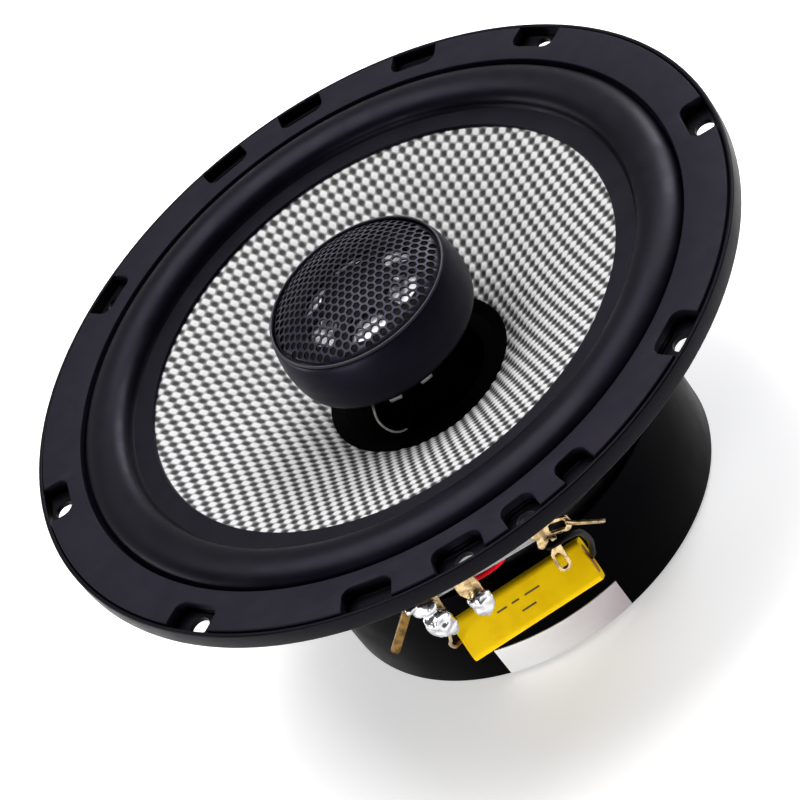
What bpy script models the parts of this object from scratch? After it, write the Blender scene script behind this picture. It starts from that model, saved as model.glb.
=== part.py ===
"""Two-way coaxial car speaker, about 165 mm across, with a woven cone and a post-mounted tweeter.

The speaker stands on its magnet cover. +Z points out of its front, the origin is at the centre of
the cover's rear face, and the terminal board faces -Y. Lengths below are in millimetres and become
metres when a shape is made.
"""
import math

import bmesh
import bpy
from mathutils import Matrix, Vector

MM = 0.001
GAP = 0.3                      # clearance left between neighbouring solids

# Overall stack, measured up from the cover's rear face
GASKET_TOP_Z = 68.7
GASKET_THICKNESS = 1.7
FLANGE_TOP_Z = GASKET_TOP_Z - GASKET_THICKNESS - GAP
FLANGE_THICKNESS = 2.2
FLANGE_BOTTOM_Z = FLANGE_TOP_Z - FLANGE_THICKNESS
CONE_RIM_Z = 65.1
NECK_Z = 48.2
COVER_TOP_Z = 28.0

# Radii of the front face
FLANGE_R = 82.3
GASKET_OUTER_R = 81.8
GASKET_INNER_R = 71.5
NOTCH_INNER_R = 75.3
HOLE_CIRCLE_R = 78.4
HOLE_R = 2.1
SURROUND_SEAT_R = 75.0
ROLL_OUTER_R = 70.9
ROLL_INNER_R = 60.1
ROLL_HEIGHT = 4.2
WEAVE_EDGE_R = 54.8
NECK_R = 20.8

# Degrees counter-clockwise from -Y
HOLE_ANGLES = [-135, -90, -45, 0, 10.4, 45, 90, 135]
WIDE_NOTCH_ANGLES = [-164.8, -135, -90, -45, -14.6, 0, 45, 90, 135, 158.6, 180]
NARROW_NOTCH_ANGLES = [10.4, 20.2]
WIDE_NOTCH = 11.0
NARROW_NOTCH = 7.5

# Magnet system
COVER_R = 45.8
COVER_WALL = 1.4
COVER_FLOOR = 1.2
YOKE_R = 42.0
YOKE_BOTTOM_Z = 1.5
YOKE_THICKNESS = 5.0
POLE_R = 14.4
POLE_TOP_Z = 28.1
MAGNET_OUTER_R = 44.1
MAGNET_INNER_R = 22.5
MAGNET_THICKNESS = 16.0
FRONT_PLATE_THICKNESS = 5.0
GAP_OUTER_R = 16.7
SCREW_R = 2.0
SCREW_HEAD_R = 4.2
SCREW_CLEARANCE_R = 2.3

# Voice coil
FORMER_INNER_R = 15.0
FORMER_OUTER_R = 15.3
FORMER_BOTTOM_Z = 20.8
FORMER_TOP_Z = 46.6
WINDING_LENGTH = 9.0

# Spider
SPIDER_INNER_R = FORMER_OUTER_R + GAP
SPIDER_OUTER_R = 47.4
SPIDER_Z = 38.15
SPIDER_CLOTH = 0.5
SPIDER_WAVE = 1.1
SPIDER_WAVES = 4

# Tweeter
TWEETER_R = 22.3
TWEETER_RIM_R = 21.4
TWEETER_RIM_Z = 74.9
TWEETER_BASE_Z = 60.6
GRILLE_R = 19.9
GRILLE_EDGE_Z = 75.2
GRILLE_HEIGHT = 5.8
GRILLE_SHEET = 0.5
DOME_R = 10.0
POST_BASE_R = 12.0
POST_WAIST_R = 9.0
POST_BOTTOM_Z = POLE_TOP_Z + GAP
SPIGOT_R = 6.0

# Terminal board and capacitor
BOARD_Y = -60.9
BOARD_THICKNESS = 1.6
BOARD_LEFT_X = -19.0
BOARD_RIGHT_X = 16.0
BOARD_BOTTOM_Z = 46.9
BOARD_TOP_Z = 52.6
TERMINAL_SHEET = 0.8
TERMINAL_Y = BOARD_Y - BOARD_THICKNESS - GAP - TERMINAL_SHEET / 2
RIVET_XS = {"board_rivet_left": -9.8, "board_rivet_right": 2.8}
CAPACITOR_R = 4.9
CAPACITOR_LENGTH = 31.4
CAPACITOR_CENTRE = Vector((-0.8, -51.4, 23.3))
CAPACITOR_TILT = math.radians(4.0)

# Basket windows
WINDOW_COUNT = 6
WINDOW_BOTTOM_Z = 39.6
WINDOW_TOP_Z = 59.0
WINDOW_BOTTOM_WIDTH = 30.0
WINDOW_TOP_WIDTH = 42.0

BIG_STEPS = 48                 # round pieces as wide as the cone or the cover
MIDDLE_STEPS = 32
SMALL_STEPS = 24               # the tweeter and other small round pieces


# ---------------------------------------------------------------- materials
def material(name, color, roughness, metallic=0.0):
    """One plain Principled BSDF."""
    mat = bpy.data.materials.new(name)
    mat.use_nodes = True
    shader = mat.node_tree.nodes["Principled BSDF"]
    shader.inputs["Base Color"].default_value = (*color, 1.0)
    shader.inputs["Roughness"].default_value = roughness
    shader.inputs["Metallic"].default_value = metallic
    return mat


# ---------------------------------------------------------------- shape helpers
def add_object(name, mesh, mat=None, smooth=True):
    """Put a mesh in the scene as one named piece."""
    obj = bpy.data.objects.new(name, mesh)
    bpy.context.scene.collection.objects.link(obj)
    if mat:
        mesh.materials.append(mat)
    if smooth:
        mesh.shade_smooth()
        mesh.set_sharp_from_angle(angle=math.radians(35))
    return obj


def mesh_from(name, bm):
    """Close off a bmesh as mesh data, with its faces pointing out and in metres."""
    bmesh.ops.recalc_face_normals(bm, faces=bm.faces)
    bmesh.ops.scale(bm, vec=(MM, MM, MM), verts=bm.verts)
    mesh = bpy.data.meshes.new(name)
    bm.to_mesh(mesh)
    bm.free()
    return mesh


def turned(name, profile, mat, steps=BIG_STEPS):
    """A solid turned about Z from an outline of (radius, height) points.

    An outline whose two ends lie on the axis stays open there; any other is closed.
    """
    bm = bmesh.new()
    verts = [bm.verts.new((radius, 0.0, height)) for radius, height in profile]
    edges = [bm.edges.new(pair) for pair in zip(verts, verts[1:])]
    if profile[0][0] > 0 or profile[-1][0] > 0:
        edges.append(bm.edges.new((verts[-1], verts[0])))
    bmesh.ops.spin(bm, geom=verts + edges, axis=(0, 0, 1), cent=(0, 0, 0), dvec=(0, 0, 0),
                   angle=math.tau, steps=steps, use_merge=True)
    bmesh.ops.remove_doubles(bm, verts=bm.verts, dist=1e-4)
    return add_object(name, mesh_from(name, bm), mat)


def prism_mesh(name, outline, start, end):
    """An outline of (x, z) points pushed along Y from start to end."""
    bm = bmesh.new()
    face = bm.faces.new([bm.verts.new((x, start, z)) for x, z in outline])
    pushed = bmesh.ops.extrude_face_region(bm, geom=[face])
    moved = [item for item in pushed["geom"] if isinstance(item, bmesh.types.BMVert)]
    bmesh.ops.translate(bm, verts=moved, vec=(0, end - start, 0))
    return mesh_from(name, bm)


def rounded(corners, radius, steps=3):
    """An outline with each corner replaced by a short arc."""
    points = []
    for index, corner in enumerate(corners):
        here = Vector(corner)
        before = (Vector(corners[index - 1]) - here).normalized()
        after = (Vector(corners[(index + 1) % len(corners)]) - here).normalized()
        half_angle = before.angle(after) / 2
        trim = radius / math.tan(half_angle)
        centre = here + (before + after).normalized() * radius / math.sin(half_angle)
        first = here + before * trim - centre
        last = here + after * trim - centre
        for step in range(steps + 1):
            spot = first.slerp(last, step / steps) if step else first
            points.append(tuple(centre + spot))
    return points


def box_bmesh(size, centre=(0, 0, 0)):
    """A box in its own bmesh."""
    bm = bmesh.new()
    bmesh.ops.create_cube(bm, size=1.0)
    bmesh.ops.scale(bm, vec=size, verts=bm.verts)
    bmesh.ops.translate(bm, vec=centre, verts=bm.verts)
    return bm


def cylinder_into(bm, radius, depth, place, steps=16):
    """Add a closed cylinder to a bmesh, at a placing matrix."""
    bmesh.ops.create_cone(bm, cap_ends=True, cap_tris=False, segments=steps,
                          radius1=radius, radius2=radius, depth=depth, matrix=place)


def hide_tool(obj):
    """Mark an object as a cutting or joining tool that isn't a piece."""
    obj.hide_render = True
    obj.display_type = "WIRE"
    return obj


def combine(target, tool, operation):
    """Cut a tool from a piece, or join it on."""
    modifier = target.modifiers.new(tool.name, "BOOLEAN")
    modifier.operation = operation
    modifier.solver = "EXACT"
    modifier.object = tool
    return modifier


def smooth_path(points, spacing):
    """Points at an even spacing along a Catmull-Rom curve through the given ones."""
    knots = [Vector(point) for point in points]
    knots = [2 * knots[0] - knots[1]] + knots + [2 * knots[-1] - knots[-2]]
    path = [knots[1]]
    for index in range(1, len(knots) - 2):
        a, b, c, d = knots[index - 1:index + 3]
        count = max(2, round((c - b).length / spacing))
        for step in range(1, count + 1):
            t = step / count
            path.append(0.5 * (2 * b + (c - a) * t + (2 * a - 5 * b + 4 * c - d) * t * t
                               + (3 * b - a - 3 * c + d) * t ** 3))
    return path


def tube(name, points, radius, mat, spacing=2.0):
    """A round wire along a smooth route."""
    curve = bpy.data.curves.new(name, "CURVE")
    curve.dimensions = "3D"
    curve.bevel_depth = radius * MM
    curve.bevel_resolution = 1 if radius < 0.7 else 2
    curve.use_fill_caps = True
    route = smooth_path(points, spacing)
    spline = curve.splines.new("POLY")
    spline.points.add(len(route) - 1)
    for point, place in zip(spline.points, route):
        point.co = (*(place * MM), 1.0)
    obj = bpy.data.objects.new(name, curve)
    bpy.context.scene.collection.objects.link(obj)
    curve.materials.append(mat)
    return obj


def around(radius, degrees, height):
    """A point at a radius and an angle counter-clockwise from -Y."""
    angle = math.radians(degrees - 90)
    return Vector((radius * math.cos(angle), radius * math.sin(angle), height))


# ---------------------------------------------------------------- magnet system
def build_magnet_system(mats):
    floor = COVER_FLOOR
    inner_r = COVER_R - COVER_WALL
    turned("magnet_cover", [
        (0, 0), (COVER_R - 0.8, 0), (COVER_R, 0.8), (COVER_R, COVER_TOP_Z - 0.8),
        (COVER_R - 0.6, COVER_TOP_Z), (inner_r, COVER_TOP_Z), (inner_r, floor), (0, floor),
    ], mats["cover"])
    build_label(mats)

    yoke_top = YOKE_BOTTOM_Z + YOKE_THICKNESS
    head_room_z = YOKE_BOTTOM_Z + 3.0
    turned("yoke_and_pole", [
        (SCREW_CLEARANCE_R, head_room_z), (SCREW_HEAD_R + 0.4, head_room_z),
        (SCREW_HEAD_R + 0.4, YOKE_BOTTOM_Z), (YOKE_R - 1, YOKE_BOTTOM_Z), (YOKE_R, YOKE_BOTTOM_Z + 1),
        (YOKE_R, yoke_top), (POLE_R, yoke_top), (POLE_R, POLE_TOP_Z), (SCREW_CLEARANCE_R, POLE_TOP_Z),
    ], mats["steel"], MIDDLE_STEPS)

    magnet_bottom = yoke_top + GAP
    magnet_top = magnet_bottom + MAGNET_THICKNESS
    turned("magnet_ring", [
        (MAGNET_INNER_R, magnet_bottom), (MAGNET_OUTER_R, magnet_bottom),
        (MAGNET_OUTER_R, magnet_top), (MAGNET_INNER_R, magnet_top),
    ], mats["ferrite"], MIDDLE_STEPS)

    plate_bottom = magnet_top + GAP
    plate_top = plate_bottom + FRONT_PLATE_THICKNESS - GAP
    turned("front_plate", [
        (GAP_OUTER_R, plate_bottom), (YOKE_R, plate_bottom),
        (YOKE_R, plate_top), (GAP_OUTER_R, plate_top),
    ], mats["steel"], MIDDLE_STEPS)


def build_label(mats):
    """A thin band round part of the cover's side, a curved plate."""
    half_span = math.radians(18.7)
    inner_r = COVER_R + GAP
    outer_r = inner_r + 0.3
    bottom, top = 0.9, 8.9
    steps = 10
    bm = bmesh.new()
    angles = [-math.pi / 2 + half_span * (2 * step / steps - 1) for step in range(steps + 1)]
    rings = [[bm.verts.new((radius * math.cos(angle), radius * math.sin(angle), z))
              for radius, z in ((inner_r, bottom), (outer_r, bottom), (outer_r, top), (inner_r, top))]
             for angle in angles]
    for ring, following in zip(rings, rings[1:]):
        for side in range(4):
            other = (side + 1) % 4
            bm.faces.new((ring[side], ring[other], following[other], following[side]))
    bm.faces.new(rings[0])
    bm.faces.new(rings[-1])
    add_object("cover_label", mesh_from("cover_label", bm), mats["foil"])


# ---------------------------------------------------------------- basket and gasket
def build_basket(mats):
    seat_z = FLANGE_TOP_Z - 1.0
    base_z = POLE_TOP_Z + GAP
    basket = turned("basket", [
        (FLANGE_R, FLANGE_BOTTOM_Z), (FLANGE_R, FLANGE_TOP_Z), (SURROUND_SEAT_R, FLANGE_TOP_Z),
        (SURROUND_SEAT_R, seat_z), (71.3, seat_z), (71.2, 64.6), (69.8, 61.2), (59.0, 54.0), (56.5, 49.6),
        (50.0, 37.6), (39.0, 37.6), (36.6, 33.9), (34.6, base_z + 1.2), (19.5, base_z + 1.2),
        (19.5, base_z), (36.0, base_z), (38.0, 33.2), (39.8, 36.3), (51.2, 36.3),
        (57.8, 49.0), (60.2, 53.0), (71.0, 60.2), (72.4, FLANGE_BOTTOM_Z),
    ], mats["basket"])

    combine(basket, board_pad(), "UNION")
    combine(basket, window_cutters(), "DIFFERENCE")
    combine(basket, mounting_hole_cutters(), "DIFFERENCE")
    combine(basket, rivet_hole_cutters(), "DIFFERENCE")


def board_pad():
    """The flat pad that the terminal board is riveted to."""
    bm = box_bmesh((25.0, 6.2, 4.6), (-1.0, BOARD_Y + GAP + 3.1, 49.9))
    return hide_tool(add_object("pad_tool", mesh_from("pad_tool", bm), smooth=False))


def window_cutters():
    """Wedges that open the windows between the spokes."""
    outline = rounded([(-WINDOW_BOTTOM_WIDTH / 2, WINDOW_BOTTOM_Z), (WINDOW_BOTTOM_WIDTH / 2, WINDOW_BOTTOM_Z),
                       (WINDOW_TOP_WIDTH / 2, WINDOW_TOP_Z), (-WINDOW_TOP_WIDTH / 2, WINDOW_TOP_Z)], 3.0)
    whole = bmesh.new()
    for index in range(WINDOW_COUNT):
        wedge = prism_mesh("wedge", outline, -40.0, -90.0)
        wedge.transform(Matrix.Rotation(math.tau * (index + 0.5) / WINDOW_COUNT, 4, "Z"))
        whole.from_mesh(wedge)
        bpy.data.meshes.remove(wedge)
    mesh = bpy.data.meshes.new("window_tool")
    whole.to_mesh(mesh)
    whole.free()
    return hide_tool(add_object("window_tool", mesh, smooth=False))


def mounting_hole_cutters():
    """Drills through the flange."""
    bm = bmesh.new()
    for angle in HOLE_ANGLES:
        place = Matrix.Translation(around(HOLE_CIRCLE_R, angle, FLANGE_TOP_Z - 1))
        cylinder_into(bm, HOLE_R, 8.0, place, 12)
    return hide_tool(add_object("hole_tool", mesh_from("hole_tool", bm), smooth=False))


def rivet_hole_cutters():
    """Drills for the board's rivets, through the board and into the pad."""
    bm = bmesh.new()
    for x in RIVET_XS.values():
        place = Matrix.Translation((x, BOARD_Y, 49.9)) @ Matrix.Rotation(math.pi / 2, 4, "X")
        cylinder_into(bm, 1.3, 6.0, place, 12)
    return hide_tool(add_object("rivet_hole_tool", mesh_from("rivet_hole_tool", bm), smooth=False))


def notch_cutters():
    """Rounded slots that open the gasket's edge over each hole, and five more with no hole."""
    widths = {angle: WIDE_NOTCH for angle in WIDE_NOTCH_ANGLES}
    widths.update({angle: NARROW_NOTCH for angle in NARROW_NOTCH_ANGLES})
    whole = bmesh.new()
    for angle, width in widths.items():
        near = -NOTCH_INNER_R
        far = -GASKET_OUTER_R - 4
        outline = rounded([(-width / 2, near), (width / 2, near), (width / 2, far), (-width / 2, far)], 1.8)
        slot = prism_mesh("slot", outline, GASKET_TOP_Z - 5, GASKET_TOP_Z + 3)
        slot.transform(Matrix(((1, 0, 0, 0), (0, 0, 1, 0), (0, 1, 0, 0), (0, 0, 0, 1))))
        slot.flip_normals()
        slot.transform(Matrix.Rotation(math.radians(angle), 4, "Z"))
        whole.from_mesh(slot)
        bpy.data.meshes.remove(slot)
    mesh = bpy.data.meshes.new("notch_tool")
    whole.to_mesh(mesh)
    whole.free()
    return hide_tool(add_object("notch_tool", mesh, smooth=False))


def build_gasket(mats):
    bottom = FLANGE_TOP_Z + GAP
    gasket = turned("gasket_ring", [
        (GASKET_INNER_R, bottom), (GASKET_OUTER_R, bottom), (GASKET_OUTER_R, GASKET_TOP_Z - 0.3),
        (GASKET_OUTER_R - 0.3, GASKET_TOP_Z), (GASKET_INNER_R + 0.5, GASKET_TOP_Z),
        (GASKET_INNER_R, GASKET_TOP_Z - 0.5),
    ], mats["gasket"])
    combine(gasket, notch_cutters(), "DIFFERENCE")


# ---------------------------------------------------------------- cone, surround, spider, coil
def cone_height(radius):
    """Height of the cone's front surface, steeper towards the neck."""
    t = (radius - NECK_R) / (WEAVE_EDGE_R - NECK_R)
    t = min(t, 1.0)
    flare = 0.33
    return NECK_Z + (CONE_RIM_Z - NECK_Z) * (t + flare * t * (1 - t))


def build_cone(mats):
    radii = [NECK_R, 27, 34, 44, WEAVE_EDGE_R, 59.4]
    front = [(radius, cone_height(radius)) for radius in radii]
    back = [(radius, height - 0.7) for radius, height in reversed(front)]
    turned("cone", front + back, mats["weave"])

    turned("neck_ring", [
        (SPIDER_INNER_R, 45.4), (18.5, 45.9), (NECK_R - GAP, 47.0), (NECK_R - GAP, 48.2),
        (18.3, 47.4), (SPIDER_INNER_R, 47.0),
    ], mats["gloss_black"], MIDDLE_STEPS)


def build_surround(mats):
    """Rubber half roll with a flat land glued on the cone and a foot under the gasket."""
    middle_r = (ROLL_OUTER_R + ROLL_INNER_R) / 2
    half_width = (ROLL_OUTER_R - ROLL_INNER_R) / 2
    base_z = CONE_RIM_Z + 0.3
    skin = 0.6
    steps = 4
    outer = []
    inner = []
    for step in range(steps + 1):
        angle = math.pi * step / steps
        outer.append((middle_r - half_width * math.cos(angle),
                      base_z + 0.5 + ROLL_HEIGHT * math.sin(angle)))
        inner.append((middle_r - (half_width - skin) * math.cos(angle),
                      base_z + (ROLL_HEIGHT - 0.2) * math.sin(angle)))
    foot_top = FLANGE_TOP_Z
    profile = [(WEAVE_EDGE_R, base_z), (WEAVE_EDGE_R, base_z + 0.5)] + outer
    profile += [(ROLL_OUTER_R + 0.1, foot_top), (SURROUND_SEAT_R - GAP, foot_top),
                (SURROUND_SEAT_R - GAP, foot_top - 0.7), (ROLL_OUTER_R - 0.2, foot_top - 0.7)]
    profile += list(reversed(inner))
    turned("surround", profile, mats["rubber"])


def build_spider(mats):
    """Corrugated cloth ring from the coil former to the basket's landing."""
    wave_start, wave_end = 18.0, 40.0
    crests = 2 * SPIDER_WAVES
    top = [(SPIDER_INNER_R, SPIDER_Z + 1.6), (SPIDER_INNER_R + 0.8, SPIDER_Z + 1.6)]
    for step in range(crests + 1):
        radius = wave_start + (wave_end - wave_start) * step / crests
        swing = SPIDER_WAVE * (1 if step % 2 else -1) if 0 < step < crests else 0.0
        top.append((radius, SPIDER_Z + SPIDER_CLOTH / 2 + swing))
    top.append((SPIDER_OUTER_R, SPIDER_Z + SPIDER_CLOTH / 2))
    bottom = [(radius, height - SPIDER_CLOTH) for radius, height in reversed(top)]
    bottom[-1] = (SPIDER_INNER_R, SPIDER_Z - 0.4)
    bottom[-2] = (SPIDER_INNER_R + 0.8, SPIDER_Z - 0.4)
    turned("spider", top + bottom, mats["cloth"], SMALL_STEPS)


def build_voice_coil(mats):
    turned("voice_coil_former", [
        (FORMER_INNER_R, FORMER_BOTTOM_Z), (FORMER_OUTER_R, FORMER_BOTTOM_Z),
        (FORMER_OUTER_R, FORMER_TOP_Z), (FORMER_INNER_R, FORMER_TOP_Z),
    ], mats["former"], MIDDLE_STEPS)
    inner_r = FORMER_OUTER_R + GAP
    bottom = FORMER_BOTTOM_Z + 0.4
    top = bottom + WINDING_LENGTH
    turned("voice_coil_winding", [
        (inner_r, bottom), (inner_r + 0.5, bottom), (inner_r + 0.5, top), (inner_r, top),
    ], mats["copper"], MIDDLE_STEPS)


def build_tinsel_leads(mats):
    """Flexible braids from the neck, out through the windows beside the terminal board."""
    for name, side, end_x in (("tinsel_lead_left", -1, BOARD_LEFT_X + 1.4),
                              ("tinsel_lead_right", 1, BOARD_RIGHT_X - 1.4)):
        route = [
            around(19.0, side * 24, 44.6), around(21.0, side * 24, 43.2), around(30.0, side * 22, 41.6),
            around(42.0, side * 21, 42.2), around(53.0, side * 20.5, 46.2),
            Vector((end_x, BOARD_Y + 2.4, 50.4)), Vector((end_x, BOARD_Y + 0.7, 50.6)),
        ]
        tube(name, route, 0.6, mats["braid"], 3.0)


# ---------------------------------------------------------------- tweeter
def build_tweeter_post(mats):
    turned("tweeter_post", [
        (0, TWEETER_BASE_Z + 3.2), (SPIGOT_R, TWEETER_BASE_Z + 3.2), (SPIGOT_R, TWEETER_BASE_Z - GAP),
        (12.5, TWEETER_BASE_Z - GAP), (POST_WAIST_R, 54.0), (POST_WAIST_R, 38.0), (POST_BASE_R, 32.5),
        (POST_BASE_R, POST_BOTTOM_Z), (SCREW_CLEARANCE_R, POST_BOTTOM_Z), (SCREW_CLEARANCE_R, 47.0), (0, 47.0),
    ], mats["post"], SMALL_STEPS)
    head_bottom = YOKE_BOTTOM_Z + GAP
    turned("post_screw", [
        (0, 45.0), (SCREW_R, 44.4), (SCREW_R, head_bottom + 2.4), (SCREW_HEAD_R, head_bottom + 2.4),
        (SCREW_HEAD_R, head_bottom), (0, head_bottom),
    ], mats["zinc"], 16)


def build_tweeter_housing(mats):
    base = TWEETER_BASE_Z
    hole_r = SPIGOT_R + GAP
    turned("tweeter_housing", [
        (hole_r, base), (14.0, base), (18.4, base + 1.0), (20.8, base + 3.0), (21.8, base + 5.4),
        (TWEETER_R, base + 9.0), (22.1, base + 12.4), (TWEETER_RIM_R, TWEETER_RIM_Z), (20.3, TWEETER_RIM_Z),
        (20.3, 71.0), (18.6, 71.0), (18.6, base + 5.4), (16.5, base + 3.0), (12.0, base + 2.0),
        (hole_r, base + 2.0),
    ], mats["housing"], MIDDLE_STEPS)
    ring_z = TWEETER_RIM_Z + GAP
    turned("tweeter_trim_ring", [
        (GRILLE_R + GAP, ring_z), (TWEETER_RIM_R - 0.2, ring_z), (TWEETER_RIM_R - 0.4, ring_z + 0.7),
        (GRILLE_R + GAP, ring_z + 0.7),
    ], mats["trim"], MIDDLE_STEPS)


def grille_point(radius, sagitta, edge_z):
    """Height on a spherical cap whose edge is at the grille's radius."""
    sphere_r = (GRILLE_R ** 2 + sagitta ** 2) / (2 * sagitta)
    return edge_z + math.sqrt(sphere_r ** 2 - radius ** 2) - (sphere_r - sagitta)


def build_tweeter_grille(mats):
    radii = [0, 5, 10, 15]
    outer = [(radius, grille_point(radius, GRILLE_HEIGHT, GRILLE_EDGE_Z)) for radius in radii]
    inner = [(radius, height - GRILLE_SHEET) for radius, height in reversed(outer)]
    skirt = [(GRILLE_R, GRILLE_EDGE_Z), (GRILLE_R, 73.3), (GRILLE_R - 0.6, 73.3),
             (GRILLE_R - 0.6, GRILLE_EDGE_Z - 0.3)]
    turned("tweeter_grille", outer + skirt + inner, mats["grille"], MIDDLE_STEPS)


def build_tweeter_motor(mats):
    floor_z = TWEETER_BASE_Z + 3.6
    turned("tweeter_yoke", [
        (0, floor_z), (12.4, floor_z), (12.4, 70.7), (10.8, 70.7), (10.8, floor_z + 1.6), (0, floor_z + 1.6),
    ], mats["steel"], SMALL_STEPS)
    magnet_z = floor_z + 1.6 + GAP
    turned("tweeter_magnet", [
        (0, magnet_z), (8.6, magnet_z), (8.6, magnet_z + 3.0), (0, magnet_z + 3.0),
    ], mats["zinc"], SMALL_STEPS)
    pole_z = magnet_z + 3.0 + GAP
    turned("tweeter_pole_plate", [
        (0, pole_z), (9.2, pole_z), (9.2, pole_z + 1.5), (0, pole_z + 1.5),
    ], mats["steel"], SMALL_STEPS)
    turned("tweeter_face_plate", [
        (13.0, 71.3), (GRILLE_R - 0.1, 71.3), (GRILLE_R - 0.1, 72.5), (16.0, 72.5), (13.6, 73.3), (13.0, 73.3),
    ], mats["face_plate"], SMALL_STEPS)


def build_tweeter_diaphragm(mats):
    """Metal dome with a small half-roll edge, moving with its own coil."""
    edge_z = 72.6
    dome = [(0, edge_z + 3.0), (4.0, edge_z + 2.6), (7.5, edge_z + 1.4), (DOME_R, edge_z)]
    roll = [(10.8, edge_z + 0.8), (11.8, edge_z + 0.8), (12.6, edge_z)]
    front = dome + roll
    back = [(radius, height - 0.3) for radius, height in reversed(front)]
    turned("tweeter_diaphragm", front + back, mats["dome"], SMALL_STEPS)
    turned("tweeter_voice_coil", [
        (9.6, 68.9), (10.1, 68.9), (10.1, 72.0), (9.6, 72.0),
    ], mats["copper"], SMALL_STEPS)


def build_tweeter_leads(mats):
    """Two bare wires that loop from the tweeter's tabs down to its post."""
    for name, angle, lean in (("tweeter_lead_left", -28, 1), ("tweeter_lead_right", 30, -1)):
        start_z = TWEETER_BASE_Z - GAP
        route = [
            around(17.0, angle, start_z + 0.2), around(17.3, angle - 2 * lean, start_z - 2.6),
            around(17.0, angle + 1 * lean, start_z - 6.0), around(15.6, angle + 7 * lean, start_z - 9.0),
            around(13.2, angle + 13 * lean, start_z - 10.4), around(POST_WAIST_R + 0.9, angle + 19 * lean, 49.6),
        ]
        tube(name, route, 0.3, mats["zinc"], 1.8)
    for name, angle in (("tweeter_tab_left", -10), ("tweeter_tab_right", 13)):
        bm = box_bmesh((2.8, 0.8, 2.0))
        place = Matrix.Rotation(math.radians(angle), 4, "Z")
        place = place @ Matrix.Translation((0, -16.6, TWEETER_BASE_Z - 1.0 - GAP))
        bmesh.ops.transform(bm, matrix=place, verts=bm.verts)
        add_object(name, mesh_from(name, bm), mats["solder"], smooth=False)


# ---------------------------------------------------------------- terminal board and crossover
def build_terminal_board(mats):
    outline = [(BOARD_LEFT_X, BOARD_BOTTOM_Z), (BOARD_RIGHT_X, BOARD_BOTTOM_Z),
               (BOARD_RIGHT_X, BOARD_TOP_Z), (BOARD_LEFT_X, BOARD_TOP_Z)]
    mesh = prism_mesh("terminal_board", rounded(outline, 0.8, 2), BOARD_Y, BOARD_Y - BOARD_THICKNESS)
    board = add_object("terminal_board", mesh, mats["board"], smooth=False)
    combine(board, rivet_hole_cutters(), "DIFFERENCE")
    for name, x in RIVET_XS.items():
        turn = Matrix.Translation((x, BOARD_Y - BOARD_THICKNESS - GAP, 49.9)) @ Matrix.Rotation(math.pi / 2, 4, "X")
        rivet = turned(name, [(0, 0.9), (1.2, 0.7), (2.0, 0), (1.0, 0), (1.0, -3.6), (0, -3.6)], mats["zinc"], 12)
        turn.translation *= MM
        rivet.data.transform(turn)


def lug_tool(name, start, end, width, twist):
    """A flat strip along the terminals' front, twisted about its length, its back level with theirs."""
    reach = (width * math.sin(twist) + TERMINAL_SHEET * math.cos(twist)) / 2
    middle_y = TERMINAL_Y + TERMINAL_SHEET / 2 - 0.05 - reach
    begin = Vector((start[0], middle_y, start[1]))
    finish = Vector((end[0], middle_y, end[1]))
    along = finish - begin
    bm = box_bmesh((along.length, TERMINAL_SHEET, width))
    heading = math.atan2(-along.z, along.x)
    place = Matrix.Translation((begin + finish) / 2) @ Matrix.Rotation(heading, 4, "Y")
    place = place @ Matrix.Rotation(twist, 4, "X")
    bmesh.ops.transform(bm, matrix=place, verts=bm.verts)
    return hide_tool(add_object(name, mesh_from(name, bm), smooth=False))


def terminal(name, outline, mats):
    """A flat brass piece on the board's front."""
    front = TERMINAL_Y - TERMINAL_SHEET / 2
    mesh = prism_mesh(name, outline, front + TERMINAL_SHEET, front)
    return add_object(name, mesh, mats["brass"], smooth=False)


def build_terminals(mats):
    left = terminal("left_terminal", [
        (-18.2, 51.6), (-18.2, 46.4), (-16.4, 45.6), (-16.4, 43.6), (-12.9, 43.6),
        (-12.9, 51.6)], mats)
    combine(left, lug_tool("left_lug_tool", (-16.6, 49.4), (-26.8, 41.0), 3.4, math.radians(25)), "UNION")

    terminal("centre_terminal", [
        (-7.9, 51.6), (-7.9, 46.4), (-7.5, 45.6), (-7.5, 43.2), (-4.1, 43.2), (-4.1, 46.4),
        (-3.7, 51.6)], mats)

    right = terminal("right_terminal", [
        (7.4, 51.6), (7.4, 46.0), (9.6, 44.4), (10.9, 44.4), (10.9, 36.8), (11.4, 36.2),
        (13.5, 36.2), (14.0, 36.8), (14.0, 44.8), (14.8, 46.0), (14.8, 51.6)], mats)
    slot = prism_mesh("slot_tool", rounded([(11.8, 38.2), (13.1, 38.2), (13.1, 42.6), (11.8, 42.6)], 0.5),
                      TERMINAL_Y + 3, TERMINAL_Y - 3)
    combine(right, hide_tool(add_object("slot_tool", slot, smooth=False)), "DIFFERENCE")
    combine(right, lug_tool("right_lug_tool", (13.6, 49.0), (23.9, 43.0), 3.0, math.radians(60)), "UNION")


def build_solder(mats):
    """Solder beads that hold the wires on the terminals' ends."""
    for name, centre, size in (("solder_bead_left", (-14.8, -63.0, 39.5), (2.5, 2.1, 3.8)),
                               ("solder_bead_centre", (-5.9, -63.0, 39.4), (2.4, 2.1, 3.5))):
        bm = bmesh.new()
        bmesh.ops.create_uvsphere(bm, u_segments=12, v_segments=8, radius=1.0)
        bmesh.ops.scale(bm, vec=size, verts=bm.verts)
        bmesh.ops.translate(bm, vec=centre, verts=bm.verts)
        add_object(name, mesh_from(name, bm), mats["solder"])


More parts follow.
